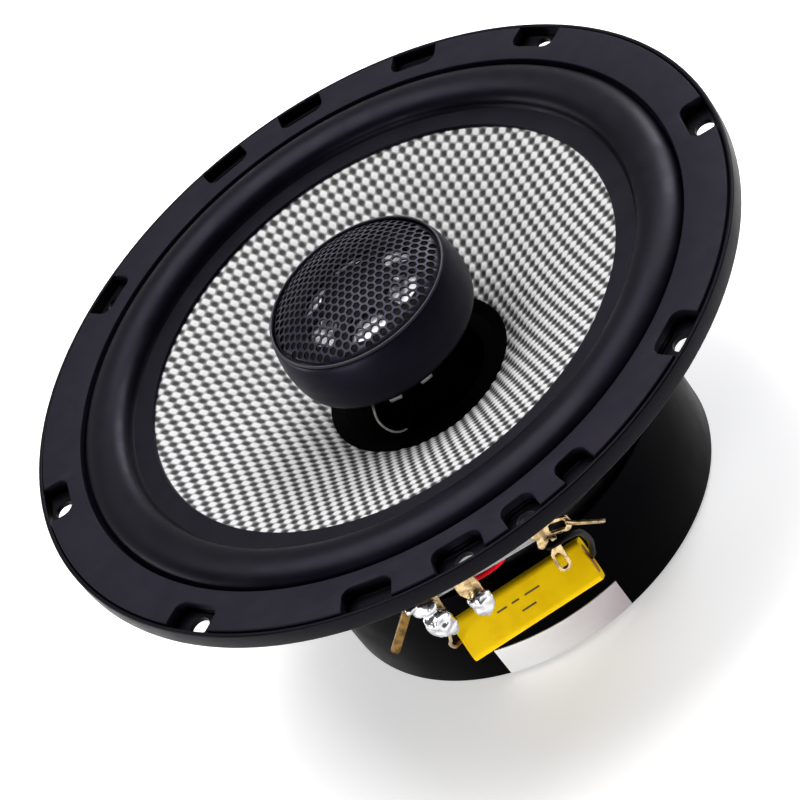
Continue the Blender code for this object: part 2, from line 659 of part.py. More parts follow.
def build_capacitor(mats):
    """Film capacitor lying against the cover, with its two leads."""
    lean = Matrix.Translation(CAPACITOR_CENTRE * MM) @ Matrix.Rotation(-CAPACITOR_TILT, 4, "Y")
    lean = lean @ Matrix.Rotation(math.pi / 2, 4, "Y")
    half = CAPACITOR_LENGTH / 2
    body = turned("capacitor", [
        (0, half), (CAPACITOR_R - 0.3, half), (CAPACITOR_R, half - 0.3),
        (CAPACITOR_R, -half + 0.3), (CAPACITOR_R - 0.3, -half), (0, -half),
    ], mats["capacitor"], SMALL_STEPS)
    body.data.transform(lean)

    rise = half * math.sin(CAPACITOR_TILT)
    left_end = CAPACITOR_CENTRE + Vector((-half - GAP, 0, -rise))
    right_end = CAPACITOR_CENTRE + Vector((half + GAP, 0, rise))
    tube("capacitor_lead_left", [
        left_end, left_end + Vector((-1.8, -0.3, -0.1)), (-20.6, -54.6, 24.5), (-19.4, -58.8, 29.6),
        (-16.4, -62.0, 33.6), (-15.2, -62.8, 35.2),
    ], 0.4, mats["zinc"])
    tube("capacitor_lead_right", [
        right_end, right_end + Vector((2.2, -0.4, 0.4)), (19.6, -53.6, 29.0), (18.8, -57.0, 35.5),
        (16.4, -60.0, 40.6), (12.6, -61.2, 42.6),
    ], 0.9, mats["sleeve"])
    tube("red_lead", [
        (-5.6, -61.4, 45.0), (-4.2, -59.6, 43.2), (-0.5, -57.6, 42.4), (3.5, -56.2, 42.0), (8.0, -54.6, 41.2),
    ], 0.9, mats["red"])


# ---------------------------------------------------------------- whole speaker
def main():
    for obj in list(bpy.data.objects):
        bpy.data.objects.remove(obj)

    mats = {
        "cover": material("cover_rubber", (0.008, 0.008, 0.010), 0.35),
        "foil": material("silver_foil", (0.60, 0.58, 0.60), 0.40, 0.5),
        "steel": material("plated_steel", (0.45, 0.45, 0.47), 0.35, 1.0),
        "ferrite": material("ferrite", (0.03, 0.03, 0.035), 0.60),
        "basket": material("black_paint", (0.010, 0.010, 0.012), 0.55),
        "gasket": material("foam_gasket", (0.028, 0.026, 0.038), 0.75),
        "weave": material("glass_weave", (0.62, 0.62, 0.62), 0.45),
        "gloss_black": material("black_glue", (0.006, 0.006, 0.007), 0.30),
        "rubber": material("surround_rubber", (0.012, 0.012, 0.016), 0.45),
        "cloth": material("spider_cloth", (0.45, 0.33, 0.14), 0.85),
        "former": material("kapton_former", (0.30, 0.12, 0.03), 0.45),
        "copper": material("copper_wire", (0.72, 0.30, 0.15), 0.35, 1.0),
        "braid": material("tinsel_braid", (0.55, 0.50, 0.42), 0.50, 0.8),
        "post": material("black_nylon", (0.010, 0.010, 0.011), 0.50),
        "zinc": material("zinc_plate", (0.60, 0.60, 0.58), 0.30, 1.0),
        "housing": material("satin_black_plastic", (0.014, 0.013, 0.020), 0.38),
        "trim": material("dark_trim", (0.10, 0.10, 0.12), 0.35),
        "grille": material("grille_paint", (0.020, 0.019, 0.028), 0.45, 0.3),
        "face_plate": material("face_plate_plastic", (0.012, 0.012, 0.013), 0.50),
        "dome": material("titanium_dome", (0.75, 0.75, 0.76), 0.22, 1.0),
        "solder": material("solder", (0.80, 0.80, 0.80), 0.18, 1.0),
        "board": material("fibre_board", (0.50, 0.45, 0.36), 0.70),
        "brass": material("brass", (0.70, 0.50, 0.22), 0.30, 1.0),
        "capacitor": material("yellow_film", (0.80, 0.55, 0.02), 0.40),
        "sleeve": material("black_sleeve", (0.010, 0.010, 0.010), 0.40),
        "red": material("red_sleeve", (0.55, 0.01, 0.02), 0.40),
    }

    build_magnet_system(mats)
    build_basket(mats)
    build_gasket(mats)
    build_cone(mats)
    build_surround(mats)
    build_spider(mats)
    build_voice_coil(mats)
    build_tinsel_leads(mats)
    build_tweeter_post(mats)
    build_tweeter_housing(mats)
    build_tweeter_grille(mats)
    build_tweeter_motor(mats)
    build_tweeter_diaphragm(mats)
    build_tweeter_leads(mats)
    build_terminal_board(mats)
    build_terminals(mats)
    build_solder(mats)
    build_capacitor(mats)


main()
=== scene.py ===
"""The looks of a two-way coaxial car speaker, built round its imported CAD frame.

The frame's +Z points out of the speaker's front and its terminals face -Y. Shapes are written in
millimetres and become metres when a mesh is made.
"""
from math import asin, atan2, copysign, cos, degrees, hypot, pi, radians, remainder, sin, sqrt, tan, tau

import bmesh
import bpy
import numpy as np
from mathutils import Matrix, Vector, noise


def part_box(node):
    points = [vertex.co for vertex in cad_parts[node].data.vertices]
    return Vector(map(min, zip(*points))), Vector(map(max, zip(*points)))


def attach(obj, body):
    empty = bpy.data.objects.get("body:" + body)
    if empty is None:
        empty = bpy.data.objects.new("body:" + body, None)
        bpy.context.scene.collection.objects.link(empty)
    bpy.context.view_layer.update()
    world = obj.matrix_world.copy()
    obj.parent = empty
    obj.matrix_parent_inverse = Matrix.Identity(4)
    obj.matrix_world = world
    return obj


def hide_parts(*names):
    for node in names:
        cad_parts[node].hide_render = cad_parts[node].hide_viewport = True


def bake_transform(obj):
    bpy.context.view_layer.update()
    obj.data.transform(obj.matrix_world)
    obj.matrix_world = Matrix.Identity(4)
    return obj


MM = 0.001
ROUND = 192                    # steps round the widest pieces
SMALL_ROUND = 96               # steps round the tweeter and the coil
WIRE_ROUND = 16
SMOOTH_ANGLE = 35              # an edge that turns by more degrees is shaded sharp

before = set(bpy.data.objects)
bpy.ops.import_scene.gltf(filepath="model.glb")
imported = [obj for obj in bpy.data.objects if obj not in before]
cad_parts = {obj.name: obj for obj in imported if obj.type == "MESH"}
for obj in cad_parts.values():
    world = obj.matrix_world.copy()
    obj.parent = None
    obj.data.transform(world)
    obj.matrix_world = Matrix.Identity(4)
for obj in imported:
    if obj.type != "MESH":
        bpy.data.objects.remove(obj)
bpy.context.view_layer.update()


# -------- sizes read from the frame
def span(node):
    """A CAD node's lowest and highest corners in millimetres."""
    low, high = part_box(node)
    return low / MM, high / MM


GASKET_TOP = span("gasket_ring")[1].z
GASKET_BOTTOM = span("gasket_ring")[0].z
FLANGE_R = span("basket")[1].x
FLANGE_TOP = GASKET_BOTTOM - 0.3
FLANGE_BOTTOM = FLANGE_TOP - 2.4
POCKET_FLOOR = FLANGE_TOP - 1.3
COVER_R = span("magnet_cover")[1].x
COVER_TOP = span("magnet_cover")[1].z
CUP_BASE = span("tweeter_housing")[0].z
CUP_RIM = span("tweeter_housing")[1].z
GRILLE_R = span("tweeter_grille")[1].x
GRILLE_TOP = span("tweeter_grille")[1].z
TRIM_BOTTOM, TRIM_TOP = (corner.z for corner in span("tweeter_trim_ring"))
GRILLE_EDGE = 75.2             # where the grille's dome meets its skirt

# -------- sizes in millimetres, angles in degrees
# Flange: angles run counter-clockwise from -Y
NOTCH_R = 75.3                 # the notches' inner edge
WIDE_NOTCH = 11.0
NARROW_NOTCH = 7.5
WIDE_NOTCHES = [-164.8, -135, -90, -45, -14.6, 0, 45, 90, 135, 158.6, 180]
NARROW_NOTCHES = [10.4, 20.2]
HOLE_CIRCLE_R = 78.4
HOLE_R = 2.2
HOLE_ANGLES = [-135, -90, -45, 0, 10.4, 45, 90, 135]
WINDOWS = 6
GLOSS_BELOW = 55.0             # the basket is glossy below this height

# Cone
NECK_R = 20.8
NECK_Z = 48.2
WEAVE_EDGE_R = 54.8
CONE_RIM_R = span("cone")[1].x
CONE_RIM_Z = 65.1
CONE_FLARE = 0.33              # how far the cone's profile bows from a straight line
CONE_SKIN = 0.7

# The cone's cloth
WEAVE_LINES = 0.55             # how much the bright lines stand out from the rungs between them
WEAVE_PITCH = 2.27             # between dark cells, round the cone's middle
WEAVE_MIDDLE_R = 38.0
WEAVE_STRETCH = 0.11           # how much the cloth opens out along the radius
WEAVE_RELIEF = 0.12            # doubles from the next radius inwards, over the fade
WEAVE_DEEPER_R = 34.0
WEAVE_FADE = 10.0
WEAVE_ROWS = -2.2              # the directions in which dark cells follow each other
WEAVE_COLUMNS = -81.0

# Surround
ROLL_IN_R = 60.1
ROLL_OUT_R = 70.9
ROLL_HEIGHT = 4.2

# Terminals and capacitor
BOARD_FRONT = -62.5
TERMINAL_FRONT = -63.6
SHEET = 0.8
CAPACITOR_CENTRE = Vector((-0.6, -51.7, 24.3))
CAPACITOR_TILT = 4.0
CAPACITOR_FACING = -36.0
CAPACITOR_LONG = 31.4
CAPACITOR_WIDE = 9.7
CAPACITOR_THICK = 6.0


# -------- material helpers
class Nodes:
    """A material's node tree with short ways to add nodes and join them."""

    def __init__(self, name, color, roughness, metallic=0.0, **sockets):
        self.material = bpy.data.materials.new(name)
        self.material.use_nodes = True
        self.tree = self.material.node_tree
        self.shader = self.tree.nodes["Principled BSDF"]
        self.color = (*color, 1.0)
        self.roughness = roughness
        self.set(self.shader, "Base Color", self.color)
        self.set(self.shader, "Roughness", roughness)
        self.set(self.shader, "Metallic", metallic)
        for socket, value in sockets.items():
            self.set(self.shader, socket.replace("_", " "), value)
        self.position = self.add("ShaderNodeTexCoord").outputs["Object"]

    def add(self, kind):
        return self.tree.nodes.new(kind)

    def set(self, node, socket, value):
        """Put a number, a colour or another node's output on a socket."""
        if isinstance(value, bpy.types.NodeSocket):
            self.tree.links.new(value, node.inputs[socket])
        else:
            node.inputs[socket].default_value = value

    def math(self, operation, first, second=0.0):
        node = self.add("ShaderNodeMath")
        node.operation = operation
        self.set(node, 0, first)
        self.set(node, 1, second)
        return node.outputs[0]

    def separate(self, vector):
        """A vector's X, Y and Z."""
        node = self.add("ShaderNodeSeparateXYZ")
        self.set(node, 0, vector)
        return node.outputs

    def ramp(self, value, low, high, new_low=0.0, new_high=1.0):
        """value mapped smoothly from low..high to new_low..new_high."""
        node = self.add("ShaderNodeMapRange")
        node.interpolation_type = "SMOOTHSTEP"
        for socket, number in zip(("Value", "From Min", "From Max", "To Min", "To Max"),
                                  (value, low, high, new_low, new_high)):
            self.set(node, socket, number)
        return node.outputs["Result"]

    def mix(self, share, first, second):
        """A colour between first and second."""
        node = self.add("ShaderNodeMix")
        node.data_type = "RGBA"
        for index, value in ((0, share), (6, first), (7, second)):
            self.set(node, index, value)
        return node.outputs[2]

    def noise(self, size, detail=2.0, stretch=(1, 1, 1)):
        """Noise whose blobs are about size millimetres wide, longer where stretch is under 1."""
        mapping = self.add("ShaderNodeMapping")
        self.set(mapping, "Vector", self.position)
        self.set(mapping, "Scale", stretch)
        node = self.add("ShaderNodeTexNoise")
        self.set(node, "Vector", mapping.outputs[0])
        self.set(node, "Scale", 1 / (size * MM))
        self.set(node, "Detail", detail)
        return node.outputs["Fac"]

    def mottle(self, size, other, amount=1.0, stretch=(1, 1, 1)):
        """Patches of another colour."""
        share = self.ramp(self.noise(size, 3.0, stretch), 0.35, 0.65, 0.0, amount)
        self.set(self.shader, "Base Color", self.mix(share, self.color, (*other, 1.0)))
        return self

    def scuff(self, size, rougher, stretch=(1, 1, 1)):
        """Roughness that varies from place to place."""
        value = self.ramp(self.noise(size, 4.0, stretch), 0.3, 0.7, self.roughness, rougher)
        self.set(self.shader, "Roughness", value)
        return self

    def bump(self, height, depth):
        """Relief whose full height is depth millimetres."""
        node = self.add("ShaderNodeBump")
        self.set(node, "Height", height)
        self.set(node, "Distance", depth * MM)
        self.set(node, "Strength", 1.0)
        self.set(self.shader, "Normal", node.outputs[0])
        return self

    def grain(self, size, depth, stretch=(1, 1, 1)):
        """A fine even texture."""
        return self.bump(self.noise(size, 2.0, stretch), depth)


def weave_material():
    """Silver glass-fibre strands one way over dark strands the other way, from the weave's own map. The
    silver is painted lighter on the crests and greyer in the dips: painted highlight and painted shade.
    """
    m = Nodes("glass_fibre_weave", (0.80, 0.80, 0.80), 0.42, Specular_IOR_Level=0.2)
    uv = m.add("ShaderNodeUVMap")
    uv.uv_map = "weave"
    u, v = m.separate(uv.outputs[0])[:2]
    waves = [m.math("MULTIPLY", m.math("COSINE", m.math("MULTIPLY", way, tau)), -share)
             for way, share in ((u, WEAVE_LINES), (v, 1 - WEAVE_LINES))]
    checks = m.math("ADD", *waves)
    across = m.math("SUBTRACT", u, v)
    along = m.math("ADD", u, v)
    ragged = m.math("MULTIPLY", m.math("SUBTRACT", m.noise(0.35, 3.0), 0.5), 0.22)
    height = m.math("ADD", checks, ragged)

    fibres = m.add("ShaderNodeCombineXYZ")
    m.set(fibres, 0, m.math("MULTIPLY", across, 26.0))
    m.set(fibres, 1, m.math("MULTIPLY", along, 1.6))
    streaks = m.add("ShaderNodeTexNoise")
    m.set(streaks, "Vector", fibres.outputs[0])
    m.set(streaks, "Scale", 1.0)
    # Painted highlight and shade: the silver is lighter where the relief stands high and greyer where it
    # dips; the streaks are the fibres.
    crest_light_and_fibres = m.math("ADD", m.ramp(height, -0.20, 0.60), m.math("MULTIPLY", streaks.outputs["Fac"], 0.5))
    bright = m.mix(m.ramp(crest_light_and_fibres, 0.15, 1.15), (0.16, 0.16, 0.162, 1), (0.51, 0.51, 0.514, 1))
    dark = m.mix(m.ramp(m.noise(0.3, 2.0), 0.4, 0.7), (0.008, 0.008, 0.009, 1), (0.034, 0.034, 0.035, 1))
    white = m.ramp(height, -0.70, 0.06)
    m.set(m.shader, "Base Color", m.mix(white, dark, bright))
    m.set(m.shader, "Roughness", m.ramp(white, 0.0, 1.0, 0.55, 0.42))
    return m.bump(m.math("ADD", checks, streaks.outputs["Fac"]), 0.04).material


def cloth_material():
    """Resin-treated tan cotton with a visible thread grid."""
    m = Nodes("treated_cloth", (0.46, 0.33, 0.13), 0.80, Sheen_Weight=0.15)
    thread = tau / (0.55 * MM)
    waves = [m.math("SINE", m.math("MULTIPLY", way, thread)) for way in m.separate(m.position)[:2]]
    grid = m.math("MULTIPLY", *waves)
    m.mottle(2.5, (0.36, 0.24, 0.08))
    return m.bump(grid, 0.06).material


def coated(name, color, roughness, size, depth, shine=0.5, rougher=0.1, tint=(1, 1, 1)):
    """A painted, moulded or woven surface: an even grain, faint patches and uneven gloss."""
    m = Nodes(name, color, roughness, Specular_IOR_Level=shine, Specular_Tint=(*tint, 1.0))
    m.mottle(size * 14, [channel * 1.5 for channel in color], 0.6)
    m.scuff(size * 20, roughness + rougher)
    return m.grain(size, depth).material


def metal(name, color, roughness, other, size=0.8, stretch=(1, 1, 1), depth=0.01):
    """Bare or plated metal with faint tarnish and fine marks."""
    m = Nodes(name, color, roughness, 1.0)
    m.mottle(size * 3, other, 0.7, stretch=stretch)
    m.scuff(size, roughness + 0.15, stretch)
    return m.grain(size * 0.5, depth, stretch=stretch).material


def label_material():
    """Satin silver film with a painted lilac reflection that grows towards its right end."""
    m = Nodes("silver_film", (0.86, 0.86, 0.86), 0.42, 0.25)
    # Painted reflection: a lilac tint mixed in by the film's position, growing towards its right end.
    along = m.math("ADD", m.separate(m.position)[0], m.math("MULTIPLY", m.noise(9.0, 3.0), 0.012))
    m.set(m.shader, "Base Color", m.mix(m.ramp(along, -0.004, 0.030), m.color, (0.50, 0.42, 0.46, 1)))
    m.scuff(3.0, 0.5)
    return m.grain(0.25, 0.006).material


def wrap_material():
    """Yellow tape wound on a film capacitor, a little darker where it is pressed."""
    m = Nodes("yellow_wrap", (0.96, 0.63, 0.003), 0.5, Specular_IOR_Level=0.04)
    m.mottle(5.0, (0.88, 0.54, 0.002), 0.8)
    m.scuff(2.0, 0.5)
    return m.grain(0.5, 0.01, stretch=(0.2, 1, 1)).material


def floor_material():
    """Pale, and lit a little from inside so that the shadows on it stay light."""
    m = Nodes("pale_floor", (0.88, 0.88, 0.88), 0.70, Specular_IOR_Level=0.2, Emission_Strength=0.45)
    m.set(m.shader, "Emission Color", (1, 1, 1, 1))
    return m.grain(6.0, 0.01).material


VIOLET = (0.78, 0.72, 1.0)    # the cast of gloss on the black pieces
MATS = {
    "gasket": coated("foam_gasket", (0.0046, 0.0040, 0.0070), 0.55, 0.25, 0.03, 0.11, tint=VIOLET),
    "basket": coated("basket_paint", (0.0010, 0.0009, 0.0013), 0.36, 0.35, 0.05, 0.07, tint=VIOLET),
    "gloss": coated("basket_gloss", (0.003, 0.003, 0.004), 0.20, 1.5, 0.006, 0.10),
    "rubber": coated("surround_rubber", (0.0008, 0.0006, 0.0018), 0.36, 0.3, 0.012, 0.115, tint=VIOLET),
    "weave": weave_material(),
    "cone_back": coated("cone_back", (0.02, 0.02, 0.022), 0.6, 0.4, 0.03, 0.3),
    "glue": coated("neck_adhesive", (0.0004, 0.0004, 0.0004), 0.55, 0.8, 0.02, 0.01),
    "cloth": cloth_material(),
    "former": coated("former_film", (0.003, 0.002, 0.001), 0.5, 0.5, 0.004, 0.02),
    "copper": metal("copper_wire", (0.72, 0.30, 0.15), 0.35, (0.60, 0.22, 0.10), 0.3, (1, 1, 8), 0.05),
    "braid": metal("tinsel_braid", (0.62, 0.56, 0.46), 0.45, (0.45, 0.36, 0.25), 0.3, depth=0.06),
    "cover": coated("cover_black", (0.0003, 0.0003, 0.0004), 0.32, 0.4, 0.008, 0.018, tint=VIOLET),
    "label": label_material(),
    "steel": metal("plated_steel", (0.45, 0.45, 0.47), 0.35, (0.36, 0.36, 0.37)),
    "ferrite": coated("ferrite", (0.03, 0.03, 0.035), 0.60, 0.5, 0.02),
    "nylon": coated("post_nylon", (0.0006, 0.0006, 0.0006), 0.5, 0.4, 0.01, 0.01),
    "cup": coated("cup_plastic", (0.0030, 0.0026, 0.0064), 0.34, 0.25, 0.004, 0.15, tint=VIOLET),
    "trim": coated("trim_edge", (0.018, 0.017, 0.024), 0.35, 0.3, 0.004, 0.3),
    "grille": coated("grille_paint", (0.0070, 0.0065, 0.0110), 0.34, 0.25, 0.004, 0.28, tint=VIOLET),
    "plate": coated("face_plate", (0.002, 0.002, 0.002), 0.45, 0.3, 0.01, 0.1),
    "dome": metal("titanium_foil", (0.66, 0.66, 0.66), 0.36, (0.40, 0.40, 0.42), 1.5),
    "tinned": metal("tinned_wire", (0.50, 0.50, 0.48), 0.30, (0.34, 0.33, 0.30), 0.5),
    "solder": metal("solder", (0.72, 0.72, 0.74), 0.14, (0.40, 0.40, 0.41), 0.9, depth=0.004),
    "board": coated("fibre_board", (0.26, 0.26, 0.255), 0.60, 0.3, 0.02, 0.2),
    "brass": metal("terminal_brass", (0.66, 0.49, 0.26), 0.24, (0.12, 0.06, 0.02), 0.5, depth=0.004),
    "old_brass": metal("aged_brass", (0.20, 0.115, 0.035), 0.34, (0.03, 0.02, 0.01), 0.5, depth=0.008),
    "wrap": wrap_material(),
    "print": coated("capacitor_print", (0.10, 0.06, 0.01), 0.5, 0.2, 0.002, 0.3),
    "epoxy": coated("capacitor_epoxy", (0.26, 0.09, 0.015), 0.35, 0.9, 0.05, 0.2),
    "sleeve": coated("black_sleeve", (0.001, 0.001, 0.0014), 0.26, 0.5, 0.01, 0.05),
    "red": coated("red_sleeve", (0.62, 0.002, 0.012), 0.40, 0.5, 0.01, 0.05),
    "floor": floor_material(),
}


# -------- mesh helpers
def add_object(name, data):
    obj = bpy.data.objects.new(name, data)
    bpy.context.scene.collection.objects.link(obj)
    return obj


def finish_mesh(name, bm, mat, smooth_angle=SMOOTH_ANGLE):
    """A bmesh in millimetres becomes an object in metres, smooth except at sharp edges."""
    bmesh.ops.recalc_face_normals(bm, faces=bm.faces)
    bmesh.ops.scale(bm, vec=(MM, MM, MM), verts=bm.verts)
    mesh = bpy.data.meshes.new(name)
    bm.to_mesh(mesh)
    bm.free()
    mesh.shade_smooth()
    mesh.set_sharp_from_angle(angle=radians(smooth_angle))
    mesh.materials.append(MATS[mat])
    return add_object(name, mesh)


def rectangle(left, low, right, high):
    return [(left, low), (right, low), (right, high), (left, high)]


def rounded(corners, radius, steps=5, closed=True):
    """A 2-D outline with each corner replaced by an arc, smaller where its sides are short."""
    corners = [Vector(corner) for corner in corners]
    count = len(corners)
    points = []
    for index, here in enumerate(corners):
        if not closed and index in (0, count - 1):
            points.append(here)
            continue
        before = corners[index - 1] - here
        after = corners[(index + 1) % count] - here
        half = before.angle(after) / 2
        if half > radians(88):          # the path is nearly straight here
            points.append(here)
            continue
        reach = min(radius / tan(half), before.length * 0.45, after.length * 0.45)
        size = reach * tan(half)
        before, after = before.normalized(), after.normalized()
        centre = here + (before + after).normalized() * size / sin(half)
        first = here + before * reach - centre
        last = here + after * reach - centre
        sweep = remainder(atan2(last.y, last.x) - atan2(first.y, first.x), tau)
        points += [centre + Matrix.Rotation(sweep * step / steps, 2) @ first for step in range(steps + 1)]
    return points


def curve_through(points, spacing):
    """Points at an even spacing along a Catmull-Rom curve."""
    knots = [Vector(point) for point in points]
    knots = [2 * knots[0] - knots[1]] + knots + [2 * knots[-1] - knots[-2]]
    path = [knots[1]]
    for index in range(1, len(knots) - 2):
        a, b, c, d = knots[index - 1:index + 3]
        count = max(2, round((c - b).length / spacing))
        for step in range(1, count + 1):
            t = step / count
            path.append(0.5 * (2 * b + (c - a) * t + (2 * a - 5 * b + 4 * c - d) * t * t
                               + (3 * b - a - 3 * c + d) * t ** 3))
    return path


def headings(path):
    """The direction of a path at each of its points."""
    last = len(path) - 1
    return [(path[min(index + 1, last)] - path[max(index - 1, 0)]).normalized()
            for index in range(len(path))]


def circle(radius, count, centre=(0, 0)):
    """Points round a circle."""
    return [(centre[0] + radius * cos(tau * step / count),
             centre[1] + radius * sin(tau * step / count)) for step in range(count)]


def skin(bm, rings):
    """Faces between rings of as many points each, and over both ends."""
    for ring, following in zip(rings, rings[1:]):
        for index in range(len(ring)):
            other = (index + 1) % len(ring)
            bm.faces.new((ring[index], ring[other], following[other], following[index]))
    bm.faces.new(rings[0])
    bm.faces.new(rings[-1])


def turned(name, outline, mat, steps=ROUND):
    """A solid turned about Z from a closed outline of (radius, height) points."""
    bm = bmesh.new()
    rings = []
    for radius, height in outline:
        if radius < 1e-6:
            rings.append([bm.verts.new((0, 0, height))])
            continue
        rings.append([bm.verts.new((x, y, height)) for x, y in circle(radius, steps)])
    for ring, following in zip(rings, rings[1:] + rings[:1]):
        if len(ring) == 1 and len(following) == 1:
            continue
        for step in range(steps):
            other = (step + 1) % steps
            corners = [ring[step % len(ring)], ring[other % len(ring)],
                       following[other % len(following)], following[step % len(following)]]
            bm.faces.new(list(dict.fromkeys(corners)))
    return finish_mesh(name, bm, mat)


def evaluated_mesh(obj):
    """A new mesh of what a curve or an object's modifiers make."""
    bpy.context.view_layer.update()
    return bpy.data.meshes.new_from_object(obj.evaluated_get(bpy.context.evaluated_depsgraph_get()))


def flat_plate(name, loops, bottom, top, edge, mat):
    """A flat sheet cut to 2-D loops, the first outside and the rest holes, with rounded edges."""
    curve = bpy.data.curves.new(name, "CURVE")
    curve.dimensions = "2D"
    curve.fill_mode = "BOTH"
    curve.extrude = (top - bottom) / 2 - edge
    curve.bevel_depth = edge
    curve.bevel_resolution = 2
    curve.offset = -edge
    for loop in loops:
        spline = curve.splines.new("POLY")
        spline.points.add(len(loop) - 1)
        spline.use_cyclic_u = True
        for point, (x, y) in zip(spline.points, loop):
            point.co = (x, y, 0, 1)
    temporary = add_object(name + "_curve", curve)
    mesh = evaluated_mesh(temporary)
    bpy.data.objects.remove(temporary)
    bpy.data.curves.remove(curve)
    bm = bmesh.new()
    bm.from_mesh(mesh)
    bpy.data.meshes.remove(mesh)
    bmesh.ops.remove_doubles(bm, verts=bm.verts, dist=1e-4)
    bmesh.ops.translate(bm, vec=(0, 0, (top + bottom) / 2), verts=bm.verts)
    return finish_mesh(name, bm, mat)


def wire(name, points, radius, mat, spacing=0.6):
    """A round wire along a smooth route, closed by rounded ends."""
    path = curve_through(points, spacing)
    bm = bmesh.new()
    rings = []
    up = Vector((0, 0, 1))
    last = len(path) - 1
    for index, (here, heading) in enumerate(zip(path, headings(path))):
        side = heading.cross(up)
        side = side.normalized() if side.length > 0.05 else heading.cross(Vector((0, 1, 0))).normalized()
        if rings:
            side = (before - heading * before.dot(heading)).normalized()
        before = side
        other = heading.cross(side)
        size = radius if 0 < index < last else radius * 0.6
        rings.append([bm.verts.new(here + size * (side * cos(angle) + other * sin(angle)))
                      for angle in (tau * step / WIRE_ROUND for step in range(WIRE_ROUND))])
    skin(bm, rings)
    return finish_mesh(name, bm, mat, 60)


def box_piece(name, size, centre, edge, mat, turn=None):
    """A box with rounded edges."""
    bm = bmesh.new()
    bmesh.ops.create_cube(bm, size=1.0)
    bmesh.ops.scale(bm, vec=size, verts=bm.verts)
    bmesh.ops.bevel(bm, geom=bm.edges[:], offset=edge, segments=3, profile=0.5, affect="EDGES")
    if turn:
        bmesh.ops.transform(bm, matrix=turn, verts=bm.verts)
    bmesh.ops.translate(bm, vec=centre, verts=bm.verts)
    return finish_mesh(name, bm, mat)


def subdivide(obj, longest):
    """Split a mesh's long edges so that it can be bent smoothly."""
    bm = bmesh.new()
    bm.from_mesh(obj.data)
    for _ in range(3):
        long_edges = [e for e in bm.edges if e.calc_length() > longest * MM]
        if long_edges:
            bmesh.ops.subdivide_edges(bm, edges=long_edges, cuts=1)
            bmesh.ops.triangulate(bm, faces=[f for f in bm.faces if len(f.verts) > 4])
    bm.to_mesh(obj.data)
    bm.free()


def around(radius, angle, height):
    """A point at a radius and an angle in degrees counter-clockwise from -Y."""
    turn = radians(angle - 90)
    return Vector((radius * cos(turn), radius * sin(turn), height))


def apply_modifiers(obj):
    """Replace an object's mesh by what its modifiers make of it."""
    old = obj.data
    obj.data = evaluated_mesh(obj)
    obj.modifiers.clear()
    bpy.data.meshes.remove(old)


def cut(obj, tools):
    """Cut other solids out of a piece, and delete them."""
    for tool in tools:
        modifier = obj.modifiers.new(tool.name, "BOOLEAN")
        modifier.operation = "DIFFERENCE"
        modifier.solver = "EXACT"
        modifier.object = tool
    apply_modifiers(obj)
    for tool in tools:
        bpy.data.objects.remove(tool)
    obj.data.shade_smooth()
    obj.data.set_sharp_from_angle(angle=radians(SMOOTH_ANGLE))


def place(obj, slot, *nodes, body="frame"):
    """Put a piece under its body's empty, and hide the CAD nodes that it stands for."""
    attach(obj, body)
    if nodes:
        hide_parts(*nodes)


def bend(obj, node):
    """Bake a piece's placement into its mesh and hide the CAD node that it stands for."""
    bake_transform(obj)
    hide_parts(node)


def bend_ring(obj, node):
    """Bake a ring's placement into its mesh and hide its CAD node.
    """
    bend(obj, node)


# -------- gasket and basket
def notched_ring(name, outer_r, inner_r, bottom, top, mat):
    """A flat ring whose outer edge is broken by notches with rounded inner corners."""
    notches = sorted([(angle, WIDE_NOTCH) for angle in WIDE_NOTCHES]
                     + [(angle, NARROW_NOTCH) for angle in NARROW_NOTCHES])
    outer = []
    for index, (angle, width) in enumerate(notches):
        half = width / 2
        edge_y = -sqrt(outer_r ** 2 - half ** 2)
        turn = Matrix.Rotation(radians(angle), 2)
        corners = [turn @ Vector(corner) for corner in
                   ((-half, edge_y), (-half, -NOTCH_R), (half, -NOTCH_R), (half, edge_y))]
        outer += rounded(corners, 2.3, 8, closed=False)
        following = notches[(index + 1) % len(notches)]
        start = angle + degrees(asin(half / outer_r))
        end = following[0] - degrees(asin(following[1] / 2 / outer_r))
        end += 360 if following[0] < angle else 0
        count = max(2, round((end - start) / 1.5))
        outer += [around(outer_r, start + (end - start) * step / count, 0).to_2d()
                  for step in range(1, count)]
    inner = [around(inner_r, 360 * step / 240, 0).to_2d() for step in range(240)]
    return flat_plate(name, [outer, inner], bottom, top, 0.28, mat)


def build_gasket():
    """Foam ring on the flange's notched land."""
    gasket = notched_ring("foam_gasket", 81.0, 71.5, GASKET_BOTTOM - 0.25, GASKET_TOP, "gasket")
    place(gasket, "foam_gasket", "gasket_ring")
    land = notched_ring("flange_land", 81.1, 74.8, POCKET_FLOOR - 0.2, GASKET_BOTTOM - 0.25, "basket")
    place(land, "black_basket_paint")


